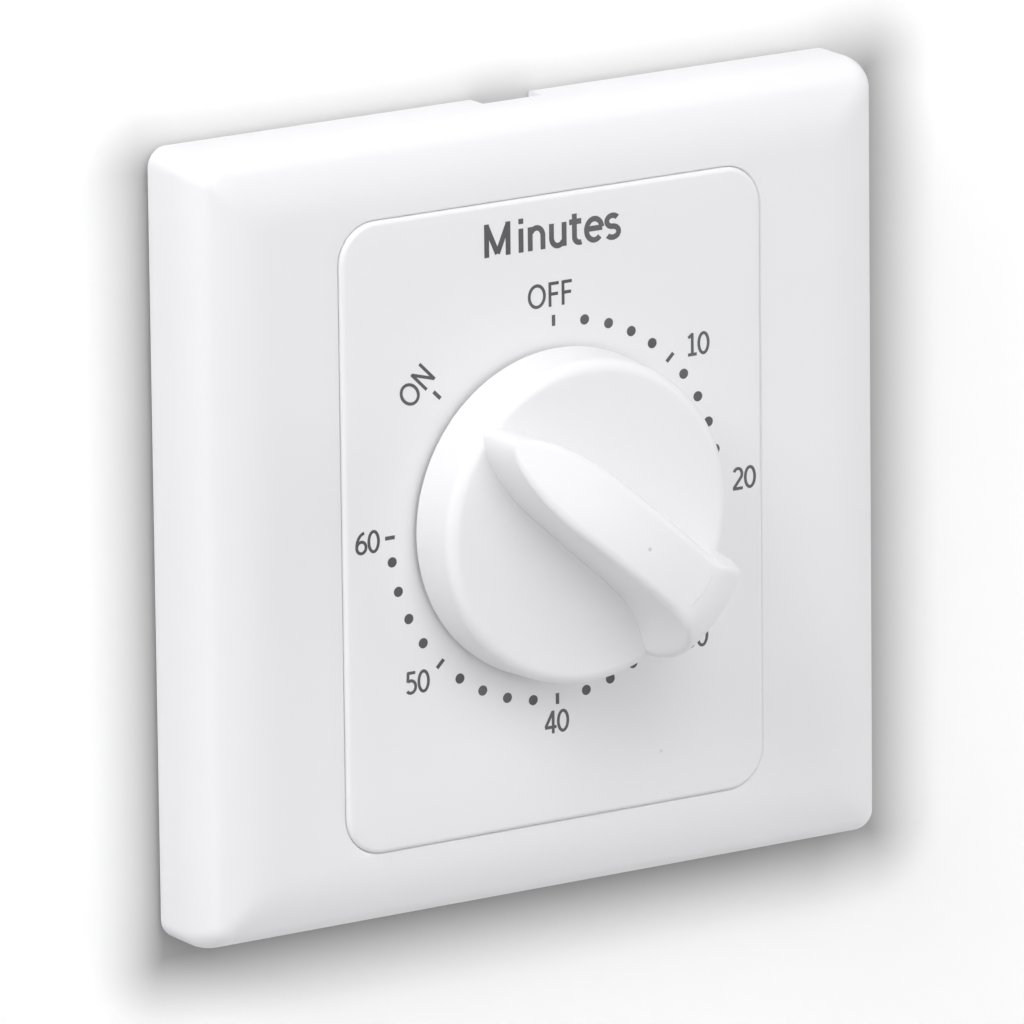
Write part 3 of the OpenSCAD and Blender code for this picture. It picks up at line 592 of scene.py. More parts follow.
INK = PlasticFinish(
    "dial_ink", (0.095, 0.095, 0.1), (0.06, 0.06, 0.064), (0.5, 0.7), 3000.0, 0.000006,
)
SLOT_FINISH: dict[Slot, PlasticFinish | MetalFinish] = {
    Slot.WHITE: PlasticFinish(
        "white_gloss_plastic", (0.82, 0.816, 0.832), (0.8, 0.796, 0.812), (0.29, 0.36), 600.0, 0.000001,
        specks=0.1, specular=0.3,
    ),
    Slot.GREY: PlasticFinish(
        "grey_satin_plastic", (0.5, 0.5, 0.49), (0.44, 0.44, 0.43), (0.42, 0.6), 1600.0, 0.00004,
        specks=0.12, speck_colour=(0.3, 0.3, 0.29),
    ),
    Slot.NYLON: PlasticFinish(
        "natural_nylon", (0.72, 0.68, 0.58), (0.64, 0.59, 0.48), (0.35, 0.5), 1400.0, 0.00002,
    ),
    Slot.FIBRE: PlasticFinish(
        "pressed_card", (0.42, 0.3, 0.17), (0.33, 0.23, 0.12), (0.7, 0.9), 2600.0, 0.00006,
        specks=0.3, speck_colour=(0.24, 0.16, 0.08),
    ),
    Slot.STEEL: MetalFinish("bright_plated_steel", (0.62, 0.62, 0.6), (0.5, 0.5, 0.47), (0.29, 0.42)),
    Slot.SPRING: MetalFinish("blued_spring_steel", (0.16, 0.19, 0.27), (0.1, 0.11, 0.16), (0.29, 0.38)),
    Slot.BRASS: MetalFinish("turned_brass", (0.72, 0.53, 0.22), (0.6, 0.4, 0.15), (0.29, 0.42)),
    Slot.BRONZE: MetalFinish("rolled_bronze_strip", (0.68, 0.42, 0.24), (0.55, 0.32, 0.17), (0.29, 0.42)),
    Slot.SILVER: MetalFinish("silver_contact", (0.85, 0.84, 0.8), (0.74, 0.72, 0.66), (0.16, 0.26)),
}


# The object's own pieces, in millimetres


@dataclass
class DialPanel:
    """Upright insert with round corners and a softly rounded front edge, on a skirt, with a shaft hole."""

    half_w: float = 26.35
    half_h: float = 34.35
    corner_r: float = 4.4
    front: float = 11.25
    edge_r: float = 0.6
    seat: float = 2.9
    side_row: float = 6.0
    thickness: float = 2.2
    skirt: float = 1.6
    hole_r: float = 4.5
    corner_steps: int = 12
    side_shares: tuple[float, ...] = (0.2, 0.4, 0.6, 0.8)
    edge_steps: int = 8
    face_steps: int = 7

    def build(self) -> Piece:
        """Builds the panel: rings from the skirt over the edge arc to the round hole and back underneath.

        Returns:
            The panel's piece.
        """
        size = np.array([self.half_w, self.half_h, self.corner_r, 0.0])
        bend = arc((-self.edge_r, self.front - self.edge_r), self.edge_r, 0.0, 90.0, self.edge_steps)
        edge = np.concatenate([[[0.0, self.seat], [0.0, self.side_row]], bend])
        outer = ring_rows(edge[:, 0], edge[:, 0], edge[:, 1]) + size
        back = self.front - self.thickness
        hole = ring_rows(np.full(2, self.hole_r), self.hole_r, np.array([self.front, back]))
        share = between(self.face_steps)
        face = outer[-1] * (1.0 - share) + hole[0] * share
        inset = np.full(2, -self.skirt)
        under = ring_rows(inset, inset, np.array([back, self.seat])) + size
        path = RingPath(self.corner_steps, (self.side_shares,) * 4)
        points = lofted(path, np.concatenate([outer, face, hole, under]))
        return mesh_object("dial_panel_face", [grid_patch(points, True, True)])


@dataclass
class FrontFrame:
    """Square snap-on frame: straight wall, rounded rim, sloping border, flat land and the panel's window."""

    half: float = 43.0
    corner_r: float = 2.2
    rim_start: float = 4.4
    rim_size: Pair = (2.7, 5.4)
    join_tilt: float = 24.0
    depth: float = 10.9
    slope_end: float = 8.2
    land_corner_r: float = 1.2
    window_w: float = DialPanel.half_w + PANEL_GAP
    window_h: float = DialPanel.half_h + PANEL_GAP
    window_r: float = DialPanel.corner_r + PANEL_GAP
    edge_r: float = 0.25
    roof: float = 8.7
    step_half: float = 36.0
    step: float = 6.5
    pocket_half: float = 40.8
    pocket_r: float = 1.4
    notch_x: float = 0.6
    notch_w: float = 7.5
    notch_depth: float = 2.7
    wall_rows: Pair = (1.2, 3.6)
    rim_clear: float = 0.3
    hook_places: Pair = (-20.0, 20.0)
    hook_size: Triple = (4.0, 0.6, 0.7)
    hook_level: float = 1.1
    hook_power: float = 0.4
    # Share of the hook's length that is full, and the share of its section at the ends
    hook_end: Pair = (0.94, 0.7)
    hook_columns: int = 24
    corner_steps: int = 12
    side_steps: int = 8
    edge_steps: int = 4
    rim_steps: int = 17
    slope_steps: int = 15
    land_steps: int = 5

    def path(self) -> RingPath:
        """Columns round the frame, with a doubled column at each side of the pry notch in the top edge.

        Returns:
            The columns, in which the third to the fifth of the top side stand in the notch.
        """
        run = 2.0 * (self.half - self.corner_r)
        right = (self.half - self.corner_r - self.notch_x - self.notch_w / 2.0) / run
        left = right + self.notch_w / run
        middle = (right + left) / 2.0
        top = (right / 2.0, right, right, middle, left, left, (1.0 + left) / 2.0)
        even = tuple(between(self.side_steps).ravel())
        return RingPath(self.corner_steps, (top, even, even, even))

    def border_rows(self) -> Array:
        """Rows over the rim and border: a stretch of an ellipse, then a curve that flattens into the land.

        The ellipse ends where it is tilted by the join angle. From there the height is depth - drop s^power,
        with s falling from 1 to 0 across the border. The power gives the curve the join's tilt at its start.

        Returns:
            Rows of half width, half height, corner radius and height.
        """
        across, up = self.rim_size
        tilt = math.tan(math.radians(self.join_tilt))
        angle = np.linspace(0.0, math.atan2(up, across * tilt), self.rim_steps + 1)
        rim_half = self.half - across * (1.0 - np.cos(angle))
        rim_z = self.rim_start + up * np.sin(angle)
        land = self.half - self.slope_end
        reach, drop = rim_half[-1] - land, self.depth - rim_z[-1]
        share = np.linspace(1.0, 0.0, self.slope_steps + 1)[1:]
        half = np.concatenate([rim_half, land + reach * share])
        z = np.concatenate([rim_z, self.depth - drop * share ** (tilt * reach / drop)])
        radius = self.corner_r + (self.land_corner_r - self.corner_r) * ramp(self.half - half, 0.0, across)
        return ring_rows(half, radius, z)

    def rows(self) -> Array:
        """All rows round the frame's section: rear edge, wall, border, window, underside and pocket.

        Returns:
            Rows of half width, half height, corner radius and height, closed from the last to the first.
        """
        rear = arc((self.half - self.edge_r, self.edge_r), self.edge_r, -90.0, 0.0, self.edge_steps)
        heights = sorted((*self.wall_rows, self.notch_depth, self.rim_start - self.rim_clear))
        wall = [[self.half, z] for z in heights]
        outer = np.concatenate([rear, wall])
        outer = ring_rows(outer[:, 0], self.corner_r, outer[:, 1])
        border = self.border_rows()
        lip = arc((self.edge_r, self.depth - self.edge_r), self.edge_r, 90.0, 180.0, self.edge_steps)
        size = np.array([self.window_w, self.window_h, self.window_r, 0.0])
        window = ring_rows(lip[:, 0], lip[:, 0], lip[:, 1]) + size
        share = between(self.land_steps)
        land = border[-1] * (1.0 - share) + window[0] * share
        inside = np.array([
            [self.window_w, self.window_h, self.window_r, self.roof],
            [self.step_half, self.step_half, self.land_corner_r, self.roof],
            [self.step_half, self.step_half, self.land_corner_r, self.step],
            [self.pocket_half, self.pocket_half, self.pocket_r, self.step],
            [self.pocket_half, self.pocket_half, self.pocket_r, self.edge_r],
            [self.pocket_half + self.edge_r, self.pocket_half + self.edge_r, self.pocket_r, 0.0],
        ])
        return np.concatenate([outer, border, land, window, inside])

    def shell(self) -> Patch:
        """The frame's shell, with the pry notch raised between its doubled columns: z = max(z, notch depth).

        Returns:
            Points and quads of the shell.
        """
        path = self.path()
        points = lofted(path, self.rows())
        side_start = path.corner_steps + 1
        notch = slice(side_start + 2, side_start + 5)
        points[:, notch, 2] = np.maximum(points[:, notch, 2], self.notch_depth)
        return grid_patch(points, True, True)

    def hooks(self) -> list[Patch]:
        """Snap hooks inside the rim: rounded bars, the section's superellipse carried along each side.

        Returns:
            Points and quads of each hook.
        """
        half_length, reach, half_height = self.hook_size
        flat, blunt = self.hook_end
        angle = np.linspace(0.0, 2.0 * np.pi, self.hook_columns, endpoint=False)
        swell, rise = (np.sign(v) * np.abs(v) ** self.hook_power for v in (np.cos(angle), np.sin(angle)))
        along = np.array([-1.0, -1.0, -flat, flat, 1.0, 1.0]) * half_length
        size = np.array([0.0, blunt, 1.0, 1.0, blunt, 0.0])[:, None]
        across = self.pocket_half - reach * size * swell
        up = self.hook_level + half_height * size * rise
        patches = []
        for place in self.hook_places:
            length = np.broadcast_to((along + place)[:, None], across.shape)
            for c, s in ((1, 0), (0, 1), (-1, 0), (0, -1)):
                x, y = c * across - s * length, s * across + c * length
                patches.append(grid_patch(np.stack([x, y, up], axis=-1), False, True))
        return patches

    def build(self) -> Piece:
        """Builds the frame's piece."""
        return mesh_object("front_frame_shell", [self.shell()] + self.hooks())


Stroke = tuple[Array, bool]


def line(*points: Pair) -> Stroke:
    """Straight stroke through the given points."""
    return np.array(points, dtype=float), False


def bow(centre: Pair, size: Pair, start: float, end: float) -> Stroke:
    """Stroke on an ellipse: centre + (size_x cos a, size_y sin a).

    Args:
        centre: Centre of the ellipse.
        size: Half its width and height.
        start: First angle in degrees.
        end: Last angle in degrees.

    Returns:
        The stroke's points, and whether it closes on itself.
    """
    whole = abs(end - start) >= 360.0
    angle = np.radians(np.linspace(start, end, BOW_POINTS, endpoint=not whole))
    points = np.stack([centre[0] + size[0] * np.cos(angle), centre[1] + size[1] * np.sin(angle)], axis=-1)
    return points, whole


def run_on(*strokes: Stroke) -> Stroke:
    """Joins strokes end to end into one."""
    return np.concatenate([points for points, _ in strokes]), False


# Each letter's advance and strokes, as shares of the cap height
GLYPHS: dict[str, tuple[float, tuple[Stroke, ...]]] = {
    "0": (0.62, (bow((0.31, 0.5), (0.24, 0.44), 0, 360),)),
    "1": (0.56, (
        line((0.1, 0.8), (0.3, 0.95)), line((0.3, 1.0), (0.3, 0.06)), line((0.08, 0.06), (0.52, 0.06)),
    )),
    "2": (0.6, (
        run_on(bow((0.29, 0.69), (0.21, 0.25), 155, -38), line((0.08, 0.08))),
        line((0.04, 0.06), (0.54, 0.06)),
    )),
    "3": (0.6, (bow((0.26, 0.72), (0.22, 0.22), 150, -90), bow((0.26, 0.28), (0.25, 0.22), 90, -150))),
    "4": (0.62, (
        line((0.42, 0.97), (0.05, 0.3)), line((0.02, 0.28), (0.6, 0.28)), line((0.43, 1.0), (0.43, 0.0)),
    )),
    "5": (0.6, (
        line((0.5, 0.94), (0.1, 0.94)), line((0.14, 0.96), (0.12, 0.54)),
        bow((0.27, 0.33), (0.24, 0.27), 125, -140),
    )),
    "6": (0.62, (bow((0.32, 0.31), (0.23, 0.25), 0, 360), bow((0.53, 0.36), (0.44, 0.58), 98, 184))),
    "O": (0.92, (bow((0.44, 0.5), (0.36, 0.44), 0, 360),)),
    "F": (0.62, (
        line((0.14, 1.0), (0.14, 0.0)), line((0.14, 0.94), (0.56, 0.94)), line((0.14, 0.51), (0.52, 0.51)),
    )),
    "N": (0.88, (
        line((0.14, 0.0), (0.14, 1.0)), line((0.14, 0.97), (0.68, 0.03)), line((0.68, 0.0), (0.68, 1.0)),
    )),
    "M": (1.15, (
        line((0.14, 0.0), (0.14, 1.0)), line((0.14, 0.94), (0.51, 0.08)), line((0.51, 0.08), (0.88, 0.94)),
        line((0.88, 0.0), (0.88, 1.0)),
    )),
    "i": (0.36, (line((0.18, 0.0), (0.18, 0.72)), line((0.18, 0.86), (0.18, 1.02)))),
    "n": (0.74, (
        line((0.14, 0.0), (0.14, 0.72)),
        run_on(bow((0.36, 0.41), (0.22, 0.26), 150, 0), line((0.58, 0.0))),
    )),
    "u": (0.74, (
        run_on(line((0.14, 0.72)), bow((0.36, 0.3), (0.22, 0.26), 180, 330)),
        line((0.58, 0.0), (0.58, 0.72)),
    )),
    "t": (0.52, (
        run_on(line((0.2, 0.92)), bow((0.38, 0.22), (0.18, 0.18), 180, 290)),
        line((0.02, 0.68), (0.44, 0.68)),
    )),
    "e": (0.72, (bow((0.37, 0.36), (0.27, 0.32), 8, 315), line((0.1, 0.39), (0.65, 0.39)))),
    "s": (0.6, (bow((0.29, 0.53), (0.2, 0.165), 35, 268), bow((0.29, 0.2), (0.21, 0.165), 92, -145))),
}


@dataclass(frozen=True)
class Label:
    """A printed word: its letters, middle, cap height, stroke width and turn in degrees."""

    letters: str
    middle: Pair
    height: float = 2.5
    stroke: float = 0.34
    turn: float = 0.0


@dataclass
class DialPrint:
    """Ink on the panel: dots and ticks round the dial, numbers, the switch words and the unit's heading."""

    front: float = DialPanel.front
    thickness: float = 0.02
    layer: float = 0.0015
    dot_ring_r: float = 20.64
    dot_r: float = 0.56
    dot_columns: int = 28
    dot_spans: tuple[Pair, ...] = (
        (10.9, 36.9), (52.4, 79.5), (99.0, 126.0), (143.5, 169.8), (188.5, 216.3), (234.2, 262.5),
    )
    dots_per_span: int = 4
    tick_inner: float = 20.1
    tick_outer: float = 21.3
    tick_w: float = 0.42
    tick_pitch: float = 45.0
    labels: tuple[Label, ...] = (
        Label("10", (18.2, 15.65)),
        Label("20", (23.95, 0.1)),
        Label("30", (17.7, -16.5)),
        Label("40", (-0.1, -23.2)),
        Label("50", (-17.5, -16.2)),
        Label("60", (-23.5, -0.1)),
        Label("OFF", (-0.36, 23.56), 2.65, 0.35),
        Label("ON", (-17.15, 16.05), 2.65, 0.35, 45.0),
        Label("Minutes", (-0.05, 30.4), 3.6, 0.6),
    )

    def slab(self, path: Array, closed: bool, width: float, layer: int = 0) -> list[Patch]:
        """Flat bar of ink: a low rectangle carried along a path, at its points plus their side direction.

        Args:
            path: Plan points of the stroke's middle line.
            closed: Whether the path closes on itself.
            width: Width of the stroke.
            layer: Which coat of ink the stroke is, so that crossing strokes never share a surface.

        Returns:
            The bar's side patch, and its two ends where it is open.
        """
        if closed:
            along = np.roll(path, -1, axis=0) - np.roll(path, 1, axis=0)
        else:
            along = np.gradient(path, axis=0)
        along = along / np.linalg.norm(along, axis=-1, keepdims=True)
        side = np.stack([-along[:, 1], along[:, 0]], axis=-1) * width / 2.0
        top, low = self.front + self.thickness + layer * self.layer, self.front
        rows = []
        for sign, z in ((-1, low), (1, low), (1, top), (-1, top)):
            rows.append(np.concatenate([path + sign * side, np.full((len(path), 1), z)], axis=-1))
        grid = np.stack(rows)
        patches = [grid_patch(grid, True, closed)]
        if not closed:
            patches += [(grid[:, end], np.array([[0, 1, 2, 3]])) for end in (0, -1)]
        return patches

    def dots(self) -> list[Patch]:
        """Dots between the tens: a low disc turned about each dot's own middle.

        Returns:
            Points and quads of each dot.
        """
        angles = np.radians(np.linspace(*np.transpose(self.dot_spans), self.dots_per_span)).ravel()
        top, low = self.front + self.thickness, self.front
        section = np.array([[0.0, low], [self.dot_r, low], [self.dot_r, top], [0.0, top]])
        disc = revolved(section, self.dot_columns)
        middles = self.dot_ring_r * np.stack([np.sin(angles), np.cos(angles), 0.0 * angles], axis=-1)
        return [grid_patch(disc + middle, False, True) for middle in middles]

    def ticks(self) -> list[Patch]:
        """Short bars that point at the axis, one at each pitch round the turn.

        Returns:
            Points and quads of the bars.
        """
        patches = []
        for angle in np.radians(np.arange(0.0, 360.0, self.tick_pitch)):
            out = np.array([math.sin(angle), math.cos(angle)])
            ends = np.stack([out * self.tick_inner, out * self.tick_outer])
            patches += self.slab(ends, False, self.tick_w)
        return patches

    def words(self) -> list[Patch]:
        """Numbers and words: each letter's strokes, spaced, scaled to the cap height, turned and placed.

        Returns:
            Points and quads of all strokes.
        """
        patches = []
        for label in self.labels:
            advances = np.array([GLYPHS[letter][0] for letter in label.letters])
            starts = np.cumsum(advances) - advances
            turn = math.radians(label.turn)
            spin = np.array([[math.cos(turn), math.sin(turn)], [-math.sin(turn), math.cos(turn)]])
            for letter, start in zip(label.letters, starts):
                corner = np.array([start - advances.sum() / 2.0, -0.5])
                for layer, (path, closed) in enumerate(GLYPHS[letter][1]):
                    place = (path + corner) * label.height @ spin + np.array(label.middle)
                    patches += self.slab(place, closed, label.stroke, layer)
        return patches

    def build(self) -> Piece:
        """Builds the print as one piece."""
        return mesh_object("dial_print", self.dots() + self.ticks() + self.words())


@dataclass
class Knob:
    """Round disc, hollow underneath, with a tall grip that runs from a pointed stem to a flared tail."""

    base: float = 11.85
    face: float = 18.25
    dome: float = 0.3
    base_r: float = 17.9
    front_r: float = 17.6
    edge_r: float = 1.4
    foot_r: float = 0.2
    wall: float = 1.8
    face_t: float = 2.0
    boss_r: float = 5.0
    bore_r: float = 2.56
    turn: float = 137.8
    rise: float = 11.4
    stem_rise: float = 5.8
    crest: float = 5.0
    tip: float = 17.4
    nose: float = 7.0
    nose_power: float = 1.8
    waist_w: float = 3.8
    lean: float = 0.15
    flare_start: float = 6.5
    flare_r: float = 13.9
    flare_lean: float = 0.22
    tail_r: Pair = (17.7, 9.0)
    tail_powers: Pair = (1.65, 0.5)
    corner: Pair = (2.2, 0.7)
    crest_edge: float = 1.1
    crown: float = 0.12
    crown_span: Pair = (-14.0, -4.0)
    root: float = 1.0
    # Shares of the half width at which strips close the grip's foot and top
    strips: tuple[float, ...] = (0.75, 0.5, 0.25, 0.0)
    columns: int = 160
    edge_steps: int = 10
    dome_steps: int = 11
    levels: int = 48
    stem_steps: int = 30
    side_steps: int = 40
    bend_steps: int = 8
    tail_steps: int = 24
    halvings: int = 40

    def disc(self) -> Piece:
        """The disc: its section carried round the axis, its face a low dome: face + dome (1 - (r / rim)^2).

        Returns:
            The disc's piece.
        """
        rim = self.front_r - self.edge_r
        edge = arc((rim, self.face - self.edge_r), self.edge_r, 0.0, 90.0, self.edge_steps)
        radius = np.linspace(rim, 0.0, self.dome_steps + 1)[1:]
        dome = np.stack([radius, self.face + self.dome * (1.0 - (radius / rim) ** 2)], axis=-1)
        ceiling = self.face - self.face_t
        inner = self.base_r - self.wall
        underside = np.array([
            [0.0, ceiling], [self.bore_r, ceiling], [self.bore_r, self.base], [self.boss_r, self.base],
            [self.boss_r, ceiling], [inner, ceiling], [inner, self.base],
            [self.base_r - self.foot_r, self.base], [self.base_r, self.base + self.foot_r],
        ])
        section = np.concatenate([underside, edge, dome])
        return mesh_object("knob_disc", [grid_patch(revolved(section, self.columns), False, True)])

    def half_width(self, u: Array, level: Array) -> Array:
        """Half width of the grip: a superellipse at the stem, a waist, then a circular flare.

        The flare shrinks with height by its own lean. The whole shrinks a little with height by the lean,
        and by a quarter circle over the crest's rounded edge.

        Args:
            u: Distance from the axis towards the tail.
            level: Share of the height.

        Returns:
            Half width at each place.
        """
        reach = np.clip((-u - self.nose) / (self.tip - self.nose), 0.0, 1.0)
        pointed = np.maximum(1.0 - reach**self.nose_power, 0.0) ** (1.0 / self.nose_power)
        out = np.clip(u - self.flare_start, 0.0, self.flare_r)
        flare = (self.flare_r - np.sqrt(self.flare_r**2 - out**2)) * (1.0 - self.flare_lean * level)
        edge = self.crest_edge / self.rise
        over = np.clip((level - 1.0 + edge) / edge, 0.0, 1.0)
        inset = self.crest_edge * (1.0 - np.sqrt(1.0 - over**2)) + self.lean * level
        return (self.waist_w * pointed + flare) * (1.0 - inset / self.waist_w)

    def outline(self, level: Array) -> tuple[Array, Array]:
        """Half outline of the grip at each level: stem, side, rounded corner and the tail's arc.

        The tail's radius falls with the level t as top + (foot - top) (1 - t^a)^b. The corner, where the
        side meets the arc, is found by halving, and a quadratic curve rounds it off.

        Args:
            level: Share of the height, of shape (levels, 1).

        Returns:
            Distance towards the tail and half width, each of shape (levels, stations).
        """
        foot, top = self.tail_r
        fall, ease = self.tail_powers
        tail = top + (foot - top) * np.maximum(1.0 - level**fall, 0.0) ** ease
        low, high = np.full_like(level, self.flare_start), tail.copy()
        for _ in range(self.halvings):
            middle = (low + high) / 2.0
            inside = np.hypot(middle, self.half_width(middle, level)) < tail
            low, high = np.where(inside, middle, low), np.where(inside, high, middle)
        corner_u, corner_w = low, self.half_width(low, level)
        bend = self.corner[0] + (self.corner[1] - self.corner[0]) * level
        share = np.linspace(0.0, 1.0, self.stem_steps + 1)[None, :-1]
        stem = -self.nose - (self.tip - self.nose) * np.cos(np.pi / 2.0 * share) + 0.0 * level
        share = np.linspace(0.0, 1.0, self.side_steps + 1)[None, :]
        side = -self.nose + (corner_u - bend + self.nose) * share
        u = np.concatenate([stem, side], axis=1)
        w = self.half_width(u, level)
        angle = np.arctan2(corner_w, corner_u) - bend / tail
        after_u, after_w = tail * np.cos(angle), tail * np.sin(angle)
        t = between(self.bend_steps).T
        bend_u = u[:, -1:] * (1.0 - t) ** 2 + 2.0 * corner_u * t * (1.0 - t) + after_u * t**2
        bend_w = w[:, -1:] * (1.0 - t) ** 2 + 2.0 * corner_w * t * (1.0 - t) + after_w * t**2
        sweep = angle * np.linspace(1.0, 0.0, self.tail_steps + 1)[None, :]
        u = np.concatenate([u, bend_u, tail * np.cos(sweep)], axis=1)
        return u, np.concatenate([w, bend_w, tail * np.sin(sweep)], axis=1)

    def crest_height(self, u: Array) -> Array:
        """Height of the crest: a parabola from the stem's top up to a level stretch."""
        fall = np.clip(self.crest - u, 0.0, None) / (self.crest + self.tip)
        return self.rise - (self.rise - self.stem_rise) * fall**2

    def grip(self) -> Piece:
        """The grip: outlines stacked from foot to crest, closed by strips across the foot and the top.

        Returns:
            The grip's piece.
        """
        level = np.sin(np.radians(np.linspace(0.0, 90.0, self.levels)))[:, None]
        u, w = self.outline(level)
        sides = np.stack([u, w, self.face + level * self.crest_height(u)])
        strip = np.array(self.strips)[:, None]
        foot_w = np.concatenate([w[:1] * strip[::-1], w[:1]])
        foot_u = np.broadcast_to(u[:1], foot_w.shape)
        foot = np.stack([foot_u, foot_w, np.full_like(foot_w, self.face - self.root)])
        top_w = w[-1:] * strip
        top_u = np.broadcast_to(u[-1:], top_w.shape)
        swell = self.crown * (1.0 - strip**2) * ramp(top_u, *self.crown_span)
        top = np.stack([top_u, top_w, self.face + self.crest_height(top_u) + swell])
        half = np.concatenate([foot, sides, top], axis=1)
        mirror = np.array([1.0, -1.0, 1.0])[:, None, None]
        u, w, z = np.concatenate([half, half[:, :, -2:0:-1] * mirror], axis=2)
        turn = math.radians(self.turn)
        x = w * math.sin(turn) - u * math.cos(turn)
        y = -w * math.cos(turn) - u * math.sin(turn)
        return mesh_object("knob_grip", [grid_patch(np.stack([x, y, z], axis=-1), False, True)])

    def build(self) -> Piece:
        """Builds the disc and the grip and joins them into one closed mesh.

        Returns:
            The knob's piece.
        """
        disc = self.disc()
        joined(disc, self.grip())
        disc.name = "knob_with_grip"
        return disc


@dataclass
class RearHousing:
    """Box behind the wall, with the small radius that a mould leaves round its rear face and wire window."""

    solid: str = "rear_housing"
    edge_r: float = 0.6
    steps: int = 3
    round_profile: float = 0.5
    flat_angle: float = 1.0
    crisp_angle: float = 40.0

    def rear_edges(self, shape: bmesh.types.BMesh) -> list[bmesh.types.BMEdge]:
        """Outer edges of the rear face: crisp, standing out, and with both ends on the rearmost plane.

        Args:
            shape: The housing's mesh.

        Returns:
            The edges to round.
        """
        rear = max(vert.co.y for vert in shape.verts) - MERGE
        crisp = math.radians(self.crisp_angle)
        level = [edge for edge in shape.edges if min(vert.co.y for vert in edge.verts) > rear]
        return [edge for edge in level if edge.is_convex and edge.calc_face_angle() > crisp]

    def build(self) -> Piece:
        """Copies the solid's mesh, merges it, joins its flat triangles and rounds the rear edges.

        Returns:
            The rounded piece at the origin.
        """
        name = f"{self.solid}_moulding"
        mesh = frame["nodes"][self.solid].data.copy()
        mesh.name = name
        shape = bmesh.new()
        shape.from_mesh(mesh)
        bmesh.ops.remove_doubles(shape, verts=shape.verts[:], dist=MERGE)
        flat = math.radians(self.flat_angle)
        bmesh.ops.dissolve_limit(shape, angle_limit=flat, verts=shape.verts[:], edges=shape.edges[:])
        bmesh.ops.bevel(
            shape, geom=self.rear_edges(shape), offset=self.edge_r * MM, offset_type="OFFSET",
            segments=self.steps, profile=self.round_profile, affect="EDGES", clamp_overlap=False,
        )
        shape.to_mesh(mesh)
        shape.free()
        shaded(mesh, self.crisp_angle)
        piece = placed(name, mesh)
        piece.modifiers.new("flat_faces", "WEIGHTED_NORMAL").keep_sharp = True
        return piece


# The studio, in metres


def seen_ray(tree: Tree) -> Socket:
    """Tells the rays that show the background: camera, glossy and transmission rays.

    Args:
        tree: The tree that asks.

    Returns:
        Socket with 1 for those rays and 0 for others.
    """
    rays = node(tree, "ShaderNodeLightPath").outputs
    either = maths(tree, "MAXIMUM", rays["Is Camera Ray"], rays["Is Glossy Ray"])
    return maths(tree, "MAXIMUM", either, rays["Is Transmission Ray"])


@dataclass(frozen=True)
class BackdropPaint:
    """Matt studio paint, lifted to white where seen, clear from behind, with a soft painted shadow round the
    plate that shows only to seen rays.
    """

    name: str
    paint: float
    lift: float
    # Depth of the painted shadow round the plate, then the rectangle, reach and fall-off that shape it
    shade: float = 0.0
    shade_middle: Pair = (2.6 * MM, -2.8 * MM)
    shade_half: Pair = (45.0 * MM, 42.4 * MM)
    shade_reach: float = 9.6 * MM
    shade_power: float = 1.45

    def light_share(self, tree: Tree, seen: Socket) -> Socket:
        """Share left after the painted shadow round the plate: 1 - depth (1 - d / reach)^power, with d the
        distance from a rectangle.

        Args:
            tree: The material's tree.
            seen: 1 for rays that show the paint, and 0 for light that it throws back.

        Returns:
            The share's socket.
        """
        where = node(tree, "ShaderNodeTexCoord")
        split = node(tree, "ShaderNodeSeparateXYZ", where.outputs["Object"])
        squares = []
        for axis, middle, half in zip("XZ", self.shade_middle, self.shade_half):
            off = maths(tree, "SUBTRACT", split.outputs[axis], middle)
            size = maths(tree, "ABSOLUTE", off)
            beyond = maths(tree, "SUBTRACT", size, half)
            outside = maths(tree, "MAXIMUM", beyond, 0.0)
            squares.append(maths(tree, "POWER", outside, 2.0))
        distance = maths(tree, "SQRT", maths(tree, "ADD", *squares))
        near = node(tree, "ShaderNodeMapRange", distance, 0.0, self.shade_reach, 1.0, 0.0)
        curve = maths(tree, "POWER", near.outputs["Result"], self.shade_power)
        depth = maths(tree, "MULTIPLY", curve, self.shade)
        shown = maths(tree, "MULTIPLY", depth, seen)
        return maths(tree, "SUBTRACT", 1.0, shown)

    def material(self) -> Material:
        """Builds the paint: diffuse colour and lift, both times the share left by the painted shadow, and
        clear from behind.

        Returns:
            The new material.
        """
        material = bpy.data.materials.new(self.name)
        material.use_nodes = True
        tree = material.node_tree
        tree.nodes.clear()
        seen = seen_ray(tree)
        # share is 1 minus the painted shadow round the plate, which darkens the paint and its lift where
        # seen
        share = self.light_share(tree, seen)
        tone = maths(tree, "MULTIPLY", share, self.paint)
        paint = node(tree, "ShaderNodeBsdfDiffuse", Color=tone).outputs[0]
        glow = maths(tree, "MULTIPLY", seen, self.lift)
        lifted = maths(tree, "MULTIPLY", glow, share)
        lift = node(tree, "ShaderNodeEmission", WHITE_LIGHT, lifted).outputs[0]
        both = node(tree, "ShaderNodeAddShader", paint, lift).outputs[0]
        clear = node(tree, "ShaderNodeBsdfTransparent").outputs[0]
        behind = node(tree, "ShaderNodeNewGeometry").outputs["Backfacing"]
        mix = node(tree, "ShaderNodeMixShader", behind, both, clear).outputs[0]
        node(tree, "ShaderNodeOutputMaterial", Surface=mix)
        return material


@dataclass(frozen=True)
class SoftBox:
    """A square lamp that looks at the object: its name, place, size and power."""

    name: str
    place: Triple
    size: float
    power: float


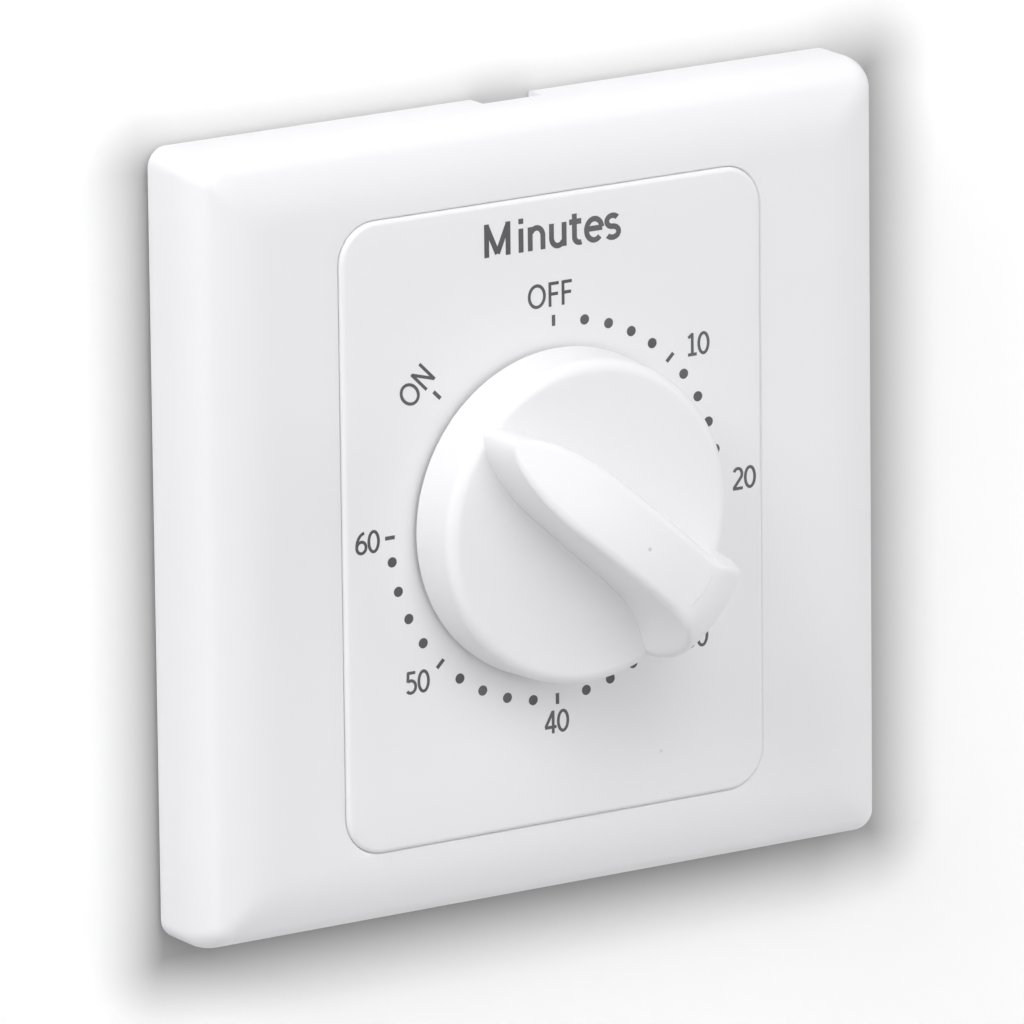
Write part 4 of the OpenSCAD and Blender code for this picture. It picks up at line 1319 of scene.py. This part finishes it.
@dataclass
class Studio:
    """Camera at the photograph's angle, white wall and floor, and soft lamps."""

    azimuth: float = -32.274
    elevation: float = 14.34
    roll: float = -0.648
    distance: float = 1.496035
    target: Triple = (0.00165, 0.0, -0.002814)
    lens_px: float = 14000.0
    frame_px: float = 1024.0
    sensor: float = 36.0
    clip: Pair = (0.05, 50.0)
    wall_back: float = 0.0004
    wall_half: float = 0.9
    wall_hole: float = 0.0418
    floor_level: float = -0.3
    floor_half: float = 3.0
    floor_hole: float = 0.01
    # The wall's paint carries a painted shadow round the plate, offset down and to the right
    wall_paint: BackdropPaint = BackdropPaint("wall_paint", 0.9, 0.16, shade=0.64)
    floor_paint: BackdropPaint = BackdropPaint("floor_paint", 0.5, 0.85)
    sky: float = 0.24
    lamps: tuple[SoftBox, ...] = (
        SoftBox("upper_left_softbox", (-1.0, -0.3, 0.95), 0.8, 13.1),
        SoftBox("right_softbox", (1.25, -0.6, 0.2), 0.9, 3.9),
        SoftBox("front_softbox", (0.0, -1.4, 0.25), 0.9, 4.2),
        SoftBox("upper_front_softbox", (-0.1, -1.0, 0.95), 0.8, 5.9),
        SoftBox("rear_softbox", (-0.5, 1.1, 0.7), 0.9, 14.0),
    )

    def camera(self) -> None:
        """Sets the camera: it looks along the view direction at the target, turned by the roll."""
        az, el, roll = (math.radians(v) for v in (self.azimuth, self.elevation, self.roll))
        back = Vector((math.sin(az) * math.cos(el), -math.cos(az) * math.cos(el), math.sin(el)))
        right = (-back).cross(Vector((0.0, 0.0, 1.0))).normalized()
        up = right.cross(-back)
        across = right * math.cos(roll) + up * math.sin(roll)
        upright = up * math.cos(roll) - right * math.sin(roll)
        data = bpy.data.cameras.new("camera")
        data.sensor_width = self.sensor
        data.lens = self.lens_px / self.frame_px * self.sensor
        data.clip_start, data.clip_end = self.clip
        camera = placed("camera", data)
        turn = Matrix((across, upright, back)).transposed()
        camera.matrix_world = Matrix.Translation(Vector(self.target) + back * self.distance) @ turn.to_4x4()
        bpy.context.scene.camera = camera

    def light(self) -> None:
        """Hangs the softboxes, each turned to the object."""
        for box in self.lamps:
            data = bpy.data.lights.new(box.name, "AREA")
            data.size = box.size
            data.energy = box.power
            lamp = placed(box.name, data)
            lamp.location = box.place
            lamp.rotation_euler = Vector(box.place).to_track_quat("Z", "Y").to_euler()
            lamp.visible_camera = False

    def world(self) -> None:
        """White sky: full white where it is seen, softer where it lights the object."""
        world = bpy.data.worlds.new("studio_sky")
        bpy.context.scene.world = world
        world.use_nodes = True
        tree = world.node_tree
        tree.nodes.clear()
        glow = node(tree, "ShaderNodeBackground", WHITE_LIGHT, self.sky).outputs[0]
        seen = node(tree, "ShaderNodeBackground", WHITE_LIGHT, 1.0).outputs[0]
        mix = node(tree, "ShaderNodeMixShader", seen_ray(tree), glow, seen).outputs[0]
        node(tree, "ShaderNodeOutputWorld", Surface=mix)

    def sheet(self, name: str, rings: Array, paint: BackdropPaint) -> None:
        """One flat painted sheet of the stage.

        Args:
            name: Name of the sheet.
            rings: Rings of points in the row frame, of shape (rings, 4, 3), in metres.
            paint: The sheet's paint.
        """
        mesh = bpy.data.meshes.new(name)
        mesh.from_pydata(rings.reshape(-1, 3).tolist(), [], grid_faces(len(rings), 4, False, True).tolist())
        mesh.materials.append(paint.material())
        placed(name, mesh)

    def stage(self) -> None:
        """Wall behind the plate, with a hole for the housing, and a floor below."""
        corners = np.array([[-1.0, -1.0], [1.0, -1.0], [1.0, 1.0], [-1.0, 1.0]])
        plan = np.stack([corners * self.wall_half, corners * self.wall_hole])
        plan[..., 1] = np.maximum(plan[..., 1], self.floor_level)
        wall = np.insert(plan, 1, self.wall_back, axis=-1)
        plan = np.stack([corners * self.floor_half, corners * self.floor_hole])
        floor = np.insert(plan, 2, self.floor_level, axis=-1)
        self.sheet("studio_wall", wall, self.wall_paint)
        self.sheet("studio_floor", floor, self.floor_paint)


def dress_solids(finishes: dict[Slot, Material]) -> None:
    """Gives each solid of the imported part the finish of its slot.

    Args:
        finishes: Materials by slot.
    """
    for part in frame["record"]["subparts"]:
        solid = frame["nodes"][part["node"]]
        solid.data.materials.clear()
        solid.data.materials.append(finishes[Slot(part["material_slot"])])
        LOG.info("dressed %s as %s", part["node"], part["material_slot"])


def main() -> None:
    """Builds the studio, the finishes and the pieces."""
    logging.basicConfig(level=logging.INFO, format="%(name)s: %(message)s")
    bpy.context.scene.view_settings.view_transform = "Standard"
    studio = Studio()
    studio.camera()
    studio.light()
    studio.world()
    studio.stage()
    finishes = {slot: finish.material() for slot, finish in SLOT_FINISH.items()}
    dress_solids(finishes)
    for piece, body, replaced, slot in (
        (FrontFrame().build(), Body.CASE, "front_frame", Slot.WHITE),
        (DialPanel().build(), Body.CASE, "dial_panel", Slot.WHITE),
        (Knob().build(), Body.KNOB, "knob", Slot.WHITE),
        (RearHousing().build(), Body.CASE, "rear_housing", Slot.GREY),
    ):
        piece.data.materials.clear()
        piece.data.materials.append(finishes[slot])
        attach(piece, body.value)
        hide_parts(replaced)
        LOG.info("built %s with %d faces", piece.name, len(piece.data.polygons))
    print_piece = DialPrint().build()
    print_piece.data.materials.append(INK.material())
    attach(print_piece, Body.CASE.value)
    LOG.info("built %s with %d faces", print_piece.name, len(print_piece.data.polygons))


if __name__ == "__main__":
    main()
